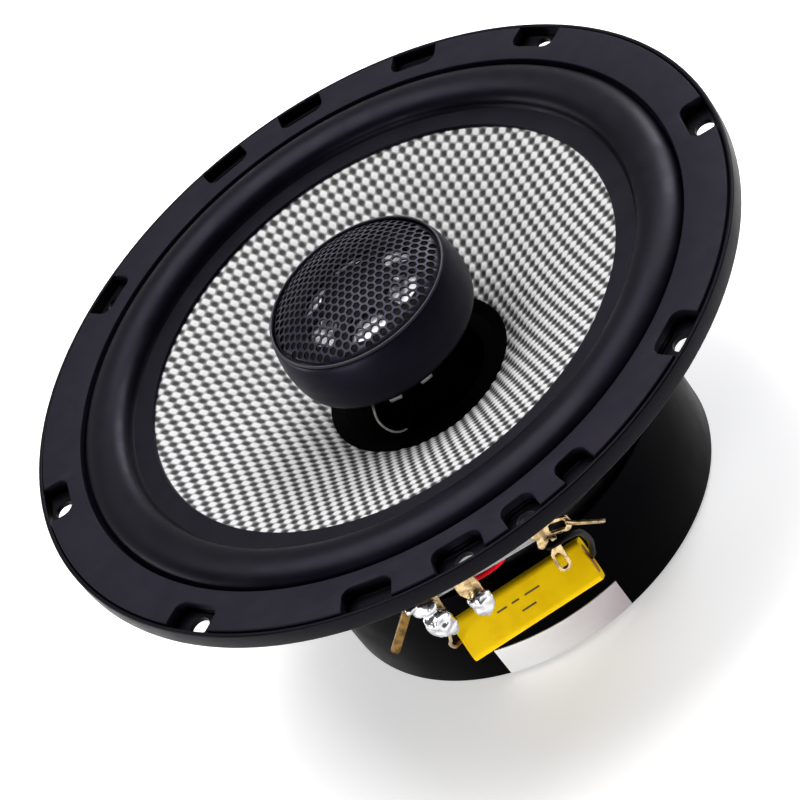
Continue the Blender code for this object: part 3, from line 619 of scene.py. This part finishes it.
def build_basket():
    """Pressed basket: flange, seat, wall with windows, spider landing and base."""
    rim, seat = GASKET_TOP - 0.3, FLANGE_TOP - 1.0
    outline = rounded([
        (FLANGE_R, FLANGE_BOTTOM), (FLANGE_R, rim), (81.3, rim), (81.2, POCKET_FLOOR), (75.4, POCKET_FLOOR),
        (75.0, FLANGE_TOP), (75.0, seat), (71.3, seat),
        (71.2, 64.6), (69.8, 61.2), (59.0, 54.0), (56.5, 49.6), (50.0, 37.6), (39.0, 37.6),
        (36.6, 33.9), (34.6, 29.6), (19.5, 29.6), (19.5, 28.4), (36.0, 28.4), (38.0, 33.2),
        (39.8, 36.3), (51.2, 36.3), (57.8, 49.0), (60.2, 53.0), (71.0, 60.2), (72.4, FLANGE_BOTTOM),
    ], 0.4, 3)
    basket = turned("basket_frame", outline, "basket")

    tools = []
    window = rounded([(-15, 39.6), (15, 39.6), (21, 59), (-21, 59)], 3.0, 8)
    for index in range(WINDOWS):
        tool = flat_plate(f"window_{index}", [window], 40, 90, 0.01, "basket")
        facing = tau * (index + 0.5) / WINDOWS
        tool.data.transform(Matrix.Rotation(facing, 4, "Z") @ Matrix.Rotation(pi / 2, 4, "X"))
        tools.append(tool)
    for angle in HOLE_ANGLES:
        loop = circle(HOLE_R, 40, around(HOLE_CIRCLE_R, angle, 0))
        tools.append(flat_plate(f"hole_{angle}", [loop], FLANGE_BOTTOM - 2, FLANGE_TOP + 2, 0.01, "basket"))
    cut(basket, tools)
    basket.data.materials.append(MATS["gloss"])
    for face in basket.data.polygons:
        if face.center.z < GLOSS_BELOW * MM:
            face.material_index = 1
    place(basket, "black_basket_paint", "basket")

    pad = box_piece("board_pad", (24.6, 5.4, 4.4), (-1.0, -57.6, 49.9), 0.6, "basket")
    place(pad, "black_basket_paint")


# -------- cone, surround, spider, coil
def cone_height(radius):
    """Height of the cone's front surface, steeper towards the neck."""
    t = min((radius - NECK_R) / (WEAVE_EDGE_R - NECK_R), 1.0)
    return NECK_Z + (CONE_RIM_Z - NECK_Z) * (t + CONE_FLARE * t * (1 - t))


def weave_place(x, y):
    """Where a point of the cone lies on the cloth, in steps between its dark cells."""
    radius = hypot(x, y)
    stretch = (radius / WEAVE_MIDDLE_R) ** -WEAVE_STRETCH / WEAVE_PITCH
    row, column = (Vector((cos(angle), sin(angle)))
                   for angle in (radians(WEAVE_ROWS), radians(WEAVE_COLUMNS)))
    spread = row.x * column.y - row.y * column.x
    u = (x * column.y - y * column.x) / spread * stretch
    v = (row.x * y - row.y * x) / spread * stretch
    return u, v


def build_cone():
    """Woven cone: strands stand up and dip on its front, and its back is plain."""
    steps, rows = 720, 120
    bm = bmesh.new()
    uv_layer = bm.loops.layers.uv.new("weave")
    radii = [NECK_R + (CONE_RIM_R - NECK_R) * row / rows for row in range(rows + 1)]
    front, places = [], {}
    for radius in radii:
        slope = (cone_height(radius + 0.1) - cone_height(radius - 0.1)) / 0.2
        relief = 0.0
        if NECK_R + 0.5 < radius < WEAVE_EDGE_R:
            relief = WEAVE_RELIEF * (1 + min(max((WEAVE_DEEPER_R - radius) / WEAVE_FADE, 0), 1))
        ring = []
        for x, y in circle(radius, steps):
            u, v = weave_place(x, y)
            lift = -relief * (WEAVE_LINES * cos(tau * u)
                              + (1 - WEAVE_LINES) * cos(tau * v))
            out = 1 - lift * slope / hypot(1, slope) / radius
            vert = bm.verts.new((x * out, y * out, cone_height(radius) + lift / hypot(1, slope)))
            places[vert] = (u, v)
            ring.append(vert)
        front.append(ring)
    back = [[bm.verts.new((x, y, cone_height(radius) - CONE_SKIN)) for x, y in circle(radius, steps)]
            for radius in (CONE_RIM_R, WEAVE_EDGE_R, 44.0, 34.0, 27.0, NECK_R)]
    rings = front + back
    for index, (ring, following) in enumerate(zip(rings, rings[1:] + rings[:1])):
        for step in range(steps):
            other = (step + 1) % steps
            face = bm.faces.new((ring[step], ring[other], following[other], following[step]))
            if index < rows:
                for loop in face.loops:
                    loop[uv_layer].uv = places[loop.vert]
            else:
                face.material_index = 1
    cone = finish_mesh("woven_cone", bm, "weave", 60)
    cone.data.materials.append(MATS["cone_back"])
    place(cone, "glass_weave", "cone", body="cone_assembly")

    collar = turned("neck_collar", rounded([
        (15.65, 45.4), (18.5, 45.9), (20.5, 47.0), (21.2, 48.4), (20.9, 48.8), (20.1, 48.3), (18.3, 47.4),
        (15.05, 47.3), (15.05, 46.7), (15.65, 46.7),
    ], 0.3), "glue", SMALL_ROUND)
    place(collar, "black_adhesive", "neck_ring", body="cone_assembly")


def build_surround():
    """Half roll with a small fillet at each side, a flat land on the cone and a foot on the basket."""
    middle, half = (ROLL_IN_R + ROLL_OUT_R) / 2, (ROLL_OUT_R - ROLL_IN_R) / 2
    land_top, foot_top = CONE_RIM_Z + 0.8, FLANGE_TOP
    top = [(WEAVE_EDGE_R, land_top - 0.45), (WEAVE_EDGE_R + 0.25, land_top), (ROLL_IN_R - 0.5, land_top)]
    under = []
    for step in range(1, 32):
        angle = pi * step / 32
        lift = ROLL_HEIGHT * sin(angle) ** 0.85
        top.append((middle - half * cos(angle), land_top + 0.05 + lift))
        under.append((middle - (half - 0.6) * cos(angle), land_top - 0.55 + lift))
    top += [(ROLL_OUT_R + 0.25, foot_top + 0.1), (ROLL_OUT_R + 0.6, foot_top), (74.6, foot_top),
            (74.7, foot_top - 0.1), (74.7, foot_top - 0.7), (ROLL_OUT_R - 0.2, foot_top - 0.7)]
    outline = top + under[::-1] + [(ROLL_IN_R + 0.4, land_top - 0.5), (WEAVE_EDGE_R, land_top - 0.5)]
    ring = turned("rubber_surround", outline, "rubber", 240)
    bend_ring(ring, "surround")


def build_spider():
    """Corrugated cloth ring from the coil former to the basket's landing."""
    middle, thickness, swing = 38.15, 0.4, 1.1
    start, end, waves = 18.0, 40.0, 4
    line = [(15.6, middle + 1.2), (16.4, middle + 1.1)]
    count = 16 * waves
    for step in range(count + 1):
        share = step / count
        fade = min(1.0, share * 10, (1 - share) * 10)
        line.append((start + (end - start) * share,
                     middle - swing * fade * sin(tau * waves * share)))
    line += [(43.0, middle), (47.0, middle)]
    top = [(radius, height + thickness / 2) for radius, height in line]
    under = [(radius, height - thickness / 2) for radius, height in reversed(line)]
    bend_ring(turned("cloth_spider", top + under, "cloth", 144), "spider")


def build_coil():
    """Voice coil former and its winding, with the turns of the wire standing out."""
    former = turned("coil_former", rounded(rectangle(15.0, 20.8, 15.3, 46.6), 0.08), "former",
                    SMALL_ROUND)
    place(former, "former_film", "voice_coil_former", body="cone_assembly")
    low, turns, pitch = 21.2, 28, 9.0 / 28
    outline = [(15.6, low), (15.8, low)]
    for turn in range(turns):
        for step in range(1, 5):
            angle = pi * step / 5
            outline.append((15.8 + 0.28 * sin(angle), low + pitch * (turn + (1 - cos(angle)) / 2)))
    outline += [(15.8, low + 9.0), (15.6, low + 9.0)]
    place(turned("coil_winding", outline, "copper", SMALL_ROUND), "copper_wire", "voice_coil_winding",
          body="cone_assembly")


def build_tinsel_leads():
    """Two braids from the neck to the board."""
    for side, name, end_x in ((-1, "left", -17.6), (1, "right", 14.6)):
        route = [
            around(19.0, side * 24, 44.6), around(21.0, side * 24, 43.2), around(30.0, side * 22, 41.6),
            around(42.0, side * 21, 42.2), around(53.0, side * 20.5, 46.2),
            Vector((end_x, -58.5, 50.4)), Vector((end_x, -60.2, 50.6)),
        ]
        lead = wire(f"tinsel_{name}", route, 0.55, "braid", 0.5)
        bend(lead, f"tinsel_lead_{name}")


# -------- tweeter
def grille_height(radius):
    """Height of the grille's outer surface, a part of a sphere."""
    rise = GRILLE_TOP - GRILLE_EDGE
    sphere = (GRILLE_R ** 2 + rise ** 2) / (2 * rise)
    return GRILLE_EDGE + sqrt(max(sphere ** 2 - radius ** 2, 0)) - (sphere - rise)


def build_grille():
    """Perforated dome: six-sided holes on a hexagonal grid, a narrow plain border and a skirt."""
    pitch, hole_r, sheet = 1.90, 0.79, 0.40
    border_r, lip_r, lip = 19.45, 18.9, 1.3
    turn = radians(12)
    loops = [circle(19.7, 144)]
    reach = int(border_r / pitch) + 2
    for row in range(-reach, reach + 1):
        for column in range(-reach, reach + 1):
            x = pitch * (column + 0.5 * (row % 2))
            y = pitch * sqrt(0.75) * row
            x, y = x * cos(turn) - y * sin(turn), x * sin(turn) + y * cos(turn)
            if hypot(x, y) > border_r - 0.35:
                continue
            loop = []
            for step in range(12):
                angle = turn + pi * (step + 1) / 6
                size = hole_r * (1, 0.93)[step % 2]
                corner = Vector((x + size * cos(angle), y + size * sin(angle)))
                loop.append(corner * min(1, border_r / corner.length))
            loops.append(loop)
    grille = flat_plate("tweeter_mesh", loops, -sheet, 0, 0.06, "grille")
    for vertex in grille.data.vertices:
        radius = hypot(vertex.co.x, vertex.co.y) / MM
        vertex.co.z += (grille_height(radius) - lip * max(0, radius - lip_r) ** 2) * MM
    place(grille, "grille_paint", "tweeter_grille")
    # Painted shade: the skirt takes the face plate's black instead of the grille's paint, so that it sinks
    # into the shade round the grille's edge.
    skirt = turned("grille_skirt", rounded(rectangle(19.3, 73.3, GRILLE_R, 74.6), 0.15), "plate",
                   SMALL_ROUND)
    place(skirt, "grille_paint")


def build_housing():
    """Tweeter cup with a smooth side, its thin lighter rim, and the post below it."""
    base = CUP_BASE
    side = curve_through([
        (13.5, base), (18.6, base + 0.5), (20.7, base + 1.8), (21.6, base + 4.2), (21.8, base + 7.5),
        (21.65, base + 10.0), (21.25, base + 12.4), (20.85, CUP_RIM - 0.5), (20.55, CUP_RIM),
    ], 0.5)
    inside = [(20.3, CUP_RIM), (20.2, CUP_RIM - 0.1), (20.2, 71.0), (18.6, 71.0), (18.6, base + 5.4),
              (16.5, base + 3.0), (12.0, base + 2.0), (6.3, base + 2.0), (6.3, base + 0.2), (6.6, base)]
    cup = turned("tweeter_cup", side + inside, "cup")
    place(cup, "satin_black_plastic", "tweeter_housing")

    rim = turned("tweeter_rim", rounded([
        (20.0, TRIM_BOTTOM - 0.2), (20.55, TRIM_BOTTOM - 0.2), (20.5, TRIM_TOP - 0.2),
        (20.05, TRIM_TOP - 0.2),
    ], 0.22), "trim")
    place(rim, "dark_trim", "tweeter_trim_ring")

    post = turned("tweeter_stem", [(0, base + 3.2)] + rounded([
        (6.0, base + 3.2), (6.0, base - 0.3), (12.5, base - 0.3), (9.0, 54.0), (9.0, 38.0),
        (12.0, 32.5), (12.0, 28.4), (2.3, 28.4), (2.3, 47.0),
    ], 0.8) + [(0, 47.0)], "nylon", SMALL_ROUND)
    place(post, "black_nylon", "tweeter_post")


def build_tweeter_front():
    """Bright dome with its roll, behind a dark plate with six windows."""
    edge = 72.6
    front = curve_through([
        (0.01, edge + 3.0), (4.0, edge + 2.6), (7.5, edge + 1.4), (9.2, edge + 0.2), (10.4, edge + 0.65),
        (11.8, edge + 0.6), (13.1, edge + 0.2), (14.2, edge - 0.5),
    ], 0.35)
    front = [(0, edge + 3.0)] + front[1:]
    back = [(radius, height - 0.25) for radius, height in reversed(front)]
    place(turned("tweeter_dome_foil", front + back, "dome", SMALL_ROUND), "titanium_foil",
          "tweeter_diaphragm", body="tweeter_dome")

    loops = [[around(19.8, 360 * step / 144, 0).to_2d() for step in range(144)]]
    for index in range(6):
        middle = 60 * index - 2
        corners = [around(radius, middle + side * half, 0).to_2d()
                   for radius, side, half in ((8.2, -1, 19), (8.2, 1, 19), (13.6, 1, 21), (13.6, -1, 21))]
        corners.insert(3, around(14.2, middle, 0).to_2d())
        corners.insert(1, around(8.5, middle, 0).to_2d())
        loops.append(rounded(corners, 1.2, 5))
    plate = flat_plate("tweeter_phase_plate", loops, -0.6, 0, 0.15, "plate")
    subdivide(plate, 1.2)
    plate_edge, rise, raised_r = 73.4, 3.2, 14.5
    for vertex in plate.data.vertices:
        radius = hypot(vertex.co.x, vertex.co.y) / MM
        vertex.co.z += (plate_edge + rise * max(0.0, 1 - (radius / raised_r) ** 2)) * MM
    place(plate, "black_nylon", "tweeter_face_plate")


def build_tweeter_wires():
    """The left wire loops bare below the cup, the right one is sleeved and runs down beside the post."""
    bare = [
        (-8.0, -17.0, CUP_BASE + 0.8), (-8.5, -18.6, 60.7), (-9.0, -19.5, 58.6), (-8.7, -20.0, 56.4),
        (-7.8, -20.1, 54.5), (-6.5, -19.9, 53.3), (-5.2, -19.5, 52.8),
    ]
    place(wire("tweeter_wire_left", bare, 0.25, "tinned", 0.3), "bare_wire", "tweeter_lead_left")
    covered = [(-5.6, -19.6, 52.95), (-4.2, -18.0, 52.5), (-2.4, -15.0, 52.8), (-1.0, -11.0, 54.5)]
    place(wire("tweeter_wire_left_sleeve", covered, 0.4, "nylon", 0.4), "black_sleeve")
    sleeved = [around(14.5, 42, CUP_BASE + 0.4), around(14.2, 46, 57.5), around(12.6, 50, 53.0),
               around(11.0, 52, 48.0)]
    place(wire("tweeter_wire_right", sleeved, 0.4, "sleeve", 0.4), "black_sleeve", "tweeter_lead_right")
    for name, angle, drop in (("left", -13, 1.9), ("right", 13, 1.5)):
        turn = Matrix.Rotation(radians(angle), 4, "Z")
        centre = turn @ Vector((0, -16.8, CUP_BASE - drop))
        tab = box_piece(f"solder_tab_{name}", (2.9, 0.8, 1.1), centre, 0.3, "tinned", turn)
        place(tab, "solder", f"tweeter_tab_{name}")


# -------- magnet cover and label
def build_cover():
    """Cover over the magnet: straight side, rounded rear edge and a rolled front edge."""
    inner = COVER_R - 1.4
    outline = [(0, 0)] + rounded([
        (COVER_R, 0), (COVER_R, COVER_TOP), (inner, COVER_TOP), (inner, 1.2),
    ], 0.7) + [(0, 1.2)]
    place(turned("cover_shell", outline, "cover", 240), "cover_plastic", "magnet_cover")

    half, inner_r, outer_r = 18.7, COVER_R + 0.02, COVER_R + 0.35
    bottom, top = 0.9, 8.9
    section = rounded(rectangle(inner_r, bottom, outer_r, top), 0.08, 2)
    steps = 60
    bm = bmesh.new()
    rings = []
    for step in range(steps + 1):
        angle = -half + 2 * half * step / steps
        rings.append([bm.verts.new(around(radius, angle, height)) for radius, height in section])
    skin(bm, rings)
    place(finish_mesh("rear_label", bm, "label"), "silver_foil", "cover_label")


# -------- terminals and capacitor
def stand_up(obj, x, y, z):
    """Turn a mesh's +Z to -Y, then move it."""
    obj.data.transform(Matrix.Translation([value * MM for value in (x, y, z)])
                       @ Matrix.Rotation(pi / 2, 4, "X"))


def upright_plate(name, loops, front, thickness, edge, mat):
    """A flat sheet in the XZ plane, its front face towards -Y."""
    plate = flat_plate(name, loops, 0, thickness, edge, mat)
    stand_up(plate, 0, front + thickness, 0)
    return plate


def strip(name, path, width, thickness, mat, tilt):
    """A flat metal strip along a route, its width turned by tilt degrees from upright."""
    points = curve_through(path, 0.5)
    section = rounded(rectangle(-width / 2, -thickness / 2, width / 2, thickness / 2), 0.2, 2)
    bm = bmesh.new()
    rings = []
    last = len(points) - 1
    for index, (here, heading) in enumerate(zip(points, headings(points))):
        angle = radians(tilt[0] + (tilt[1] - tilt[0]) * index / last)
        flat = Vector((0, -1, 0))
        flat = (flat - heading * flat.dot(heading)).normalized()
        flat = Matrix.Rotation(angle, 3, heading) @ flat
        wide = heading.cross(flat)
        narrow = 1.0 if 0 < index < last else 0.75
        rings.append([bm.verts.new(here + wide * across * narrow + flat * deep)
                      for across, deep in section])
    skin(bm, rings)
    return finish_mesh(name, bm, mat)


def build_board():
    """Terminal board with a chamfered edge, and two domed rivets."""
    loop = rounded(rectangle(-19.0, 46.4, 13.4, 52.6), 0.8, 4)
    board = upright_plate("terminal_strip", [loop], BOARD_FRONT, 1.6, 0.2, "board")
    place(board, "fibre_board", "terminal_board")
    for name, x in (("left", -9.8), ("right", 2.8)):
        rivet = turned(f"rivet_{name}", rounded([
            (0.3, 0.9), (1.3, 0.75), (2.0, 0.1), (2.0, 0), (1.0, 0), (1.0, -3.6), (0.3, -3.6),
        ], 0.15), "tinned", 32)
        stand_up(rivet, x, BOARD_FRONT - 0.1, 49.9)
        place(rivet, "zinc_plate", f"board_rivet_{name}")


def build_terminals():
    """Three stamped brass terminals, the outer two with a tab for a push-on receptacle."""
    left = upright_plate("terminal_plate_left", [rounded([
        (-18.0, 51.6), (-18.0, 47.0), (-16.2, 46.0), (-16.2, 42.6), (-12.6, 42.6), (-12.0, 47.6),
        (-12.4, 51.6)], 0.5)], TERMINAL_FRONT, SHEET, 0.12, "brass")
    place(left, "brass", "left_terminal")
    tab = strip("terminal_tab_left", [(-18.2, -63.6, 49.2), (-20.2, -64.0, 47.2), (-25.9, -64.0, 41.1)], 1.9,
                0.7, "old_brass", (5, 15))
    place(tab, "brass")

    centre = upright_plate("terminal_plate_centre", [rounded([
        (-8.4, 51.6), (-8.4, 44.9), (-7.6, 43.2), (-7.0, 42.0), (-4.5, 42.0), (-3.9, 43.4), (-3.7, 45.6),
        (-4.4, 51.6)], 0.4)], TERMINAL_FRONT, SHEET, 0.12, "brass")
    place(centre, "brass", "centre_terminal")

    slot = rounded([(11.25, 37.1), (12.75, 37.3), (13.0, 40.6), (12.6, 42.0), (11.5, 41.5)], 0.6, 5)
    eye = rounded([(13.6, 47.2), (16.6, 46.4), (17.5, 47.4), (17.2, 48.7), (14.2, 49.4)], 0.5, 4)
    outline = rounded([
        (9.4, 51.6), (9.9, 48.6), (10.5, 47.3), (9.8, 45.2), (10.7, 44.3), (12.3, 45.6), (12.9, 46.6),
        (12.9, 44.8), (11.0, 42.0), (10.6, 39.2), (10.6, 37.2), (11.4, 36.3), (12.9, 36.6), (13.6, 37.9),
        (13.8, 41.5), (14.2, 46.6), (15.3, 45.8), (17.4, 45.4), (18.5, 46.8), (18.3, 49.0), (16.4, 49.9),
        (14.6, 50.4), (14.2, 51.6)], 1.0, 5)
    right = upright_plate("terminal_plate_right", [outline, slot, eye], TERMINAL_FRONT, SHEET, 0.15, "brass")
    place(right, "brass", "right_terminal")
    tab = strip("terminal_tab_right", [(17.4, -63.8, 48.2), (19.2, -64.2, 46.9), (24.0, -64.4, 43.7)], 1.35,
                0.6, "brass", (20, 30))
    place(tab, "brass")


def build_solder():
    """Lumpy solder: overlapping balls run together and pushed in and out by noise."""
    beads = {
        "left": [((-14.9, -64.0, 42.0), (3.1, 2.2, 3.9)), ((-15.6, -63.8, 46.9), (2.9, 1.5, 1.7)),
                 ((-13.3, -64.2, 39.6), (1.7, 1.6, 1.9)), ((-17.8, -63.6, 48.6), (1.5, 1.3, 1.2))],
        "centre": [((-5.7, -64.0, 41.2), (2.5, 2.2, 3.0)), ((-6.2, -64.0, 39.2), (1.7, 1.6, 1.6))],
    }
    for name, balls in beads.items():
        bm = bmesh.new()
        for middle, size in balls:
            made = bmesh.ops.create_icosphere(bm, subdivisions=4, radius=1.0)
            bmesh.ops.scale(bm, vec=size, verts=made["verts"])
            bmesh.ops.translate(bm, vec=middle, verts=made["verts"])
        bead = finish_mesh(f"solder_lump_{name}", bm, "solder", 180)
        run_together = bead.modifiers.new("remesh", "REMESH")
        run_together.voxel_size = 0.2 * MM
        run_together.use_smooth_shade = True
        apply_modifiers(bead)
        offsets = []
        for vertex in bead.data.vertices:
            spot = vertex.co / MM
            lump = 0.65 * noise.noise(spot * 0.5) + 0.16 * noise.noise(spot * 1.2) - 0.1
            offsets.append(vertex.co + vertex.normal * lump * MM)
        for vertex, spot in zip(bead.data.vertices, offsets):
            vertex.co = spot
        soften = bead.modifiers.new("smooth", "SMOOTH")
        soften.iterations = 9
        apply_modifiers(bead)
        bead.data.shade_smooth()
        place(bead, "solder", f"solder_bead_{name}")


def build_capacitor():
    """Flat film capacitor: tape-wound body, epoxy in both ends, and plain printed dashes."""
    lean = (Matrix.Translation(CAPACITOR_CENTRE * MM) @ Matrix.Rotation(radians(-CAPACITOR_TILT), 4, "Y")
            @ Matrix.Rotation(radians(CAPACITOR_FACING), 4, "X"))
    wide, thick, half = CAPACITOR_WIDE / 2, CAPACITOR_THICK / 2, CAPACITOR_LONG / 2
    section = []
    for corner in rounded(rectangle(-thick, -wide, thick, wide), 1.4, 10):
        if section and (corner - section[-1]).length > 1:
            section += [section[-1].lerp(corner, 0.08), section[-1].lerp(corner, 0.92)]
        section.append(corner)

    def sleeve(name, steps, mat, *nodes):
        """Copies of the section along X, each one shrunk and shifted as a step says."""
        bm = bmesh.new()
        rings = [[bm.verts.new((x, point.x - copysign(min(inset, abs(point.x)), point.x),
                                point.y - copysign(min(inset, abs(point.y)), point.y)))
                  for point in section] for x, inset in steps]
        skin(bm, rings)
        piece = finish_mesh(name, bm, mat, 50)
        piece.data.transform(lean)
        place(piece, "yellow_film", *nodes)

    fold = [(half - 0.4, 1.5), (half - 0.05, 1.4), (half, 0.2), (half - 0.05, 0.05), (half - 0.2, 0)]
    sleeve("capacitor_body", [(-x, inset) for x, inset in fold] + fold[::-1], "wrap", "capacitor")
    for name, end in (("left", -1), ("right", 1)):
        fill = [(half - 0.6, 1.45), (half - 0.15, 1.45), (half, 1.7), (half + 0.12, 2.2)]
        sleeve(f"capacitor_end_{name}", [(end * x, inset) for x, inset in fill], "epoxy")
    marks = [(-6.2, 1.3, 2.4), (-2.6, 1.3, 1.8), (0.6, 1.3, 3.6), (-1.6, -1.2, 3.4)]
    for index, (start, height, length) in enumerate(marks):
        centre = (start + length / 2, -thick - 0.01, height)
        dash = box_piece(f"capacitor_mark_{index}", (length, 0.05, 0.4), centre, 0.02, "print")
        dash.data.transform(lean)
        place(dash, "yellow_film")


def build_leads():
    """The capacitor's two leads and the red wire behind the terminals."""
    half = CAPACITOR_LONG / 2
    rise = half * sin(radians(CAPACITOR_TILT))
    left = CAPACITOR_CENTRE + Vector((-half + 0.3, 0, -rise))
    right = CAPACITOR_CENTRE + Vector((half - 0.3, 0, rise))
    bare = [left, left + Vector((-1.2, -0.3, 0.3)), (-17.9, -54.6, 25.5), (-17.4, -58.8, 30.6),
            (-16.0, -62.2, 34.6), (-15.0, -63.0, 37.5)]
    place(wire("capacitor_wire_left", bare, 0.35, "brass", 0.4), "bare_wire", "capacitor_lead_left")
    arch = [right, right + Vector((1.4, -0.4, 1.4)), (16.4, -54.5, 28.9), (18.0, -57.0, 34.5),
            (18.0, -61.0, 41.4), (15.8, -63.8, 44.6), (13.2, -64.9, 45.5), (11.4, -64.9, 45.6)]
    place(wire("capacitor_wire_right", arch, 0.7, "sleeve"), "black_sleeve", "capacitor_lead_right")
    red = [(-5.6, -61.2, 45.2), (-4.0, -60.4, 44.1), (-2.4, -60.0, 43.7), (0.0, -59.8, 43.8),
           (2.0, -59.6, 44.4), (4.2, -59.0, 46.6)]
    place(wire("red_wire", red, 0.65, "red"), "red_sleeve", "red_lead")


# -------- hidden pieces, floor, lights, camera
def paint_hidden_nodes():
    """The pieces inside the cover and the cup keep their CAD shape and get a finished material."""
    hidden = {"yoke_and_pole": "steel", "front_plate": "steel", "magnet_ring": "ferrite",
              "post_screw": "tinned", "tweeter_yoke": "steel", "tweeter_magnet": "steel",
              "tweeter_pole_plate": "steel", "tweeter_voice_coil": "copper"}
    for node, mat in hidden.items():
        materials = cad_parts[node].data.materials
        materials.clear()
        materials.append(MATS[mat])


def build_floor():
    bm = bmesh.new()
    bmesh.ops.create_grid(bm, x_segments=8, y_segments=8, size=4000.0)
    bmesh.ops.translate(bm, vec=(0, 0, -0.05), verts=bm.verts)
    finish_mesh("floor", bm, "floor")


def area_light(name, position, target, size, power, color=(1, 1, 1)):
    light = bpy.data.lights.new(name, "AREA")
    light.shape = "RECTANGLE"
    light.size, light.size_y = size
    light.energy = power
    light.color = color
    obj = add_object(name, light)
    obj.location = position
    obj.rotation_euler = (Vector(target) - Vector(position)).to_track_quat("-Z", "Y").to_euler()


def build_lights():
    """Soft light from above, fills from the left and the right rear, and a sky brightest towards +Y."""
    world = bpy.data.worlds.new("studio")
    world.use_nodes = True
    tree = world.node_tree
    background = tree.nodes["Background"]
    direction = tree.nodes.new("ShaderNodeTexCoord")
    split = tree.nodes.new("ShaderNodeSeparateXYZ")
    strength = tree.nodes.new("ShaderNodeMapRange")
    strength.interpolation_type = "SMOOTHSTEP"
    for socket, number in (("From Min", -0.1), ("From Max", 0.9), ("To Min", 0.15), ("To Max", 0.44)):
        strength.inputs[socket].default_value = number
    tree.links.new(direction.outputs["Generated"], split.inputs[0])
    tree.links.new(split.outputs["Y"], strength.inputs["Value"])
    tree.links.new(strength.outputs["Result"], background.inputs["Strength"])
    background.inputs["Color"].default_value = (0.97, 0.97, 1.0, 1)
    bpy.context.scene.world = world
    bpy.context.scene.view_settings.view_transform = "Standard"
    middle = (0, 0, 0.06)
    area_light("key", (-0.10, 0.32, 1.45), middle, (1.3, 1.3), 34, (1.0, 0.99, 0.98))
    area_light("front", (-1.0, -1.2, 0.25), middle, (0.8, 0.4), 11)
    area_light("right", (0.8, 0.95, 0.75), middle, (0.7, 0.7), 15, (0.97, 0.97, 1.0))
    area_light("low_left", (-1.3, 0.3, 0.2), middle, (0.6, 0.3), 5, (0.97, 0.97, 1.0))


def build_camera():
    """The view from the front right, a little above, with the picture's top turned to the left."""
    camera = add_object("camera", bpy.data.cameras.new("camera"))
    camera.data.sensor_width = 36
    camera.data.lens = 151.8
    camera.data.clip_start, camera.data.clip_end = 0.01, 50
    position = Vector((0.105226, -0.553188, 0.485334))
    right = Vector((0.849527, -0.212725, -0.482754))
    up = Vector((0.503872, 0.598236, 0.623078))
    back = right.cross(up)
    turn = Matrix((right, up, back)).transposed()
    camera.matrix_world = Matrix.Translation(position) @ turn.to_4x4()
    bpy.context.scene.camera = camera


build_camera()
build_floor()
build_lights()
build_gasket()
build_basket()
build_cone()
build_surround()
build_spider()
build_coil()
build_tinsel_leads()
build_housing()
build_grille()
build_tweeter_front()
build_tweeter_wires()
build_cover()
build_board()
build_terminals()
build_solder()
build_capacitor()
build_leads()
paint_hidden_nodes()
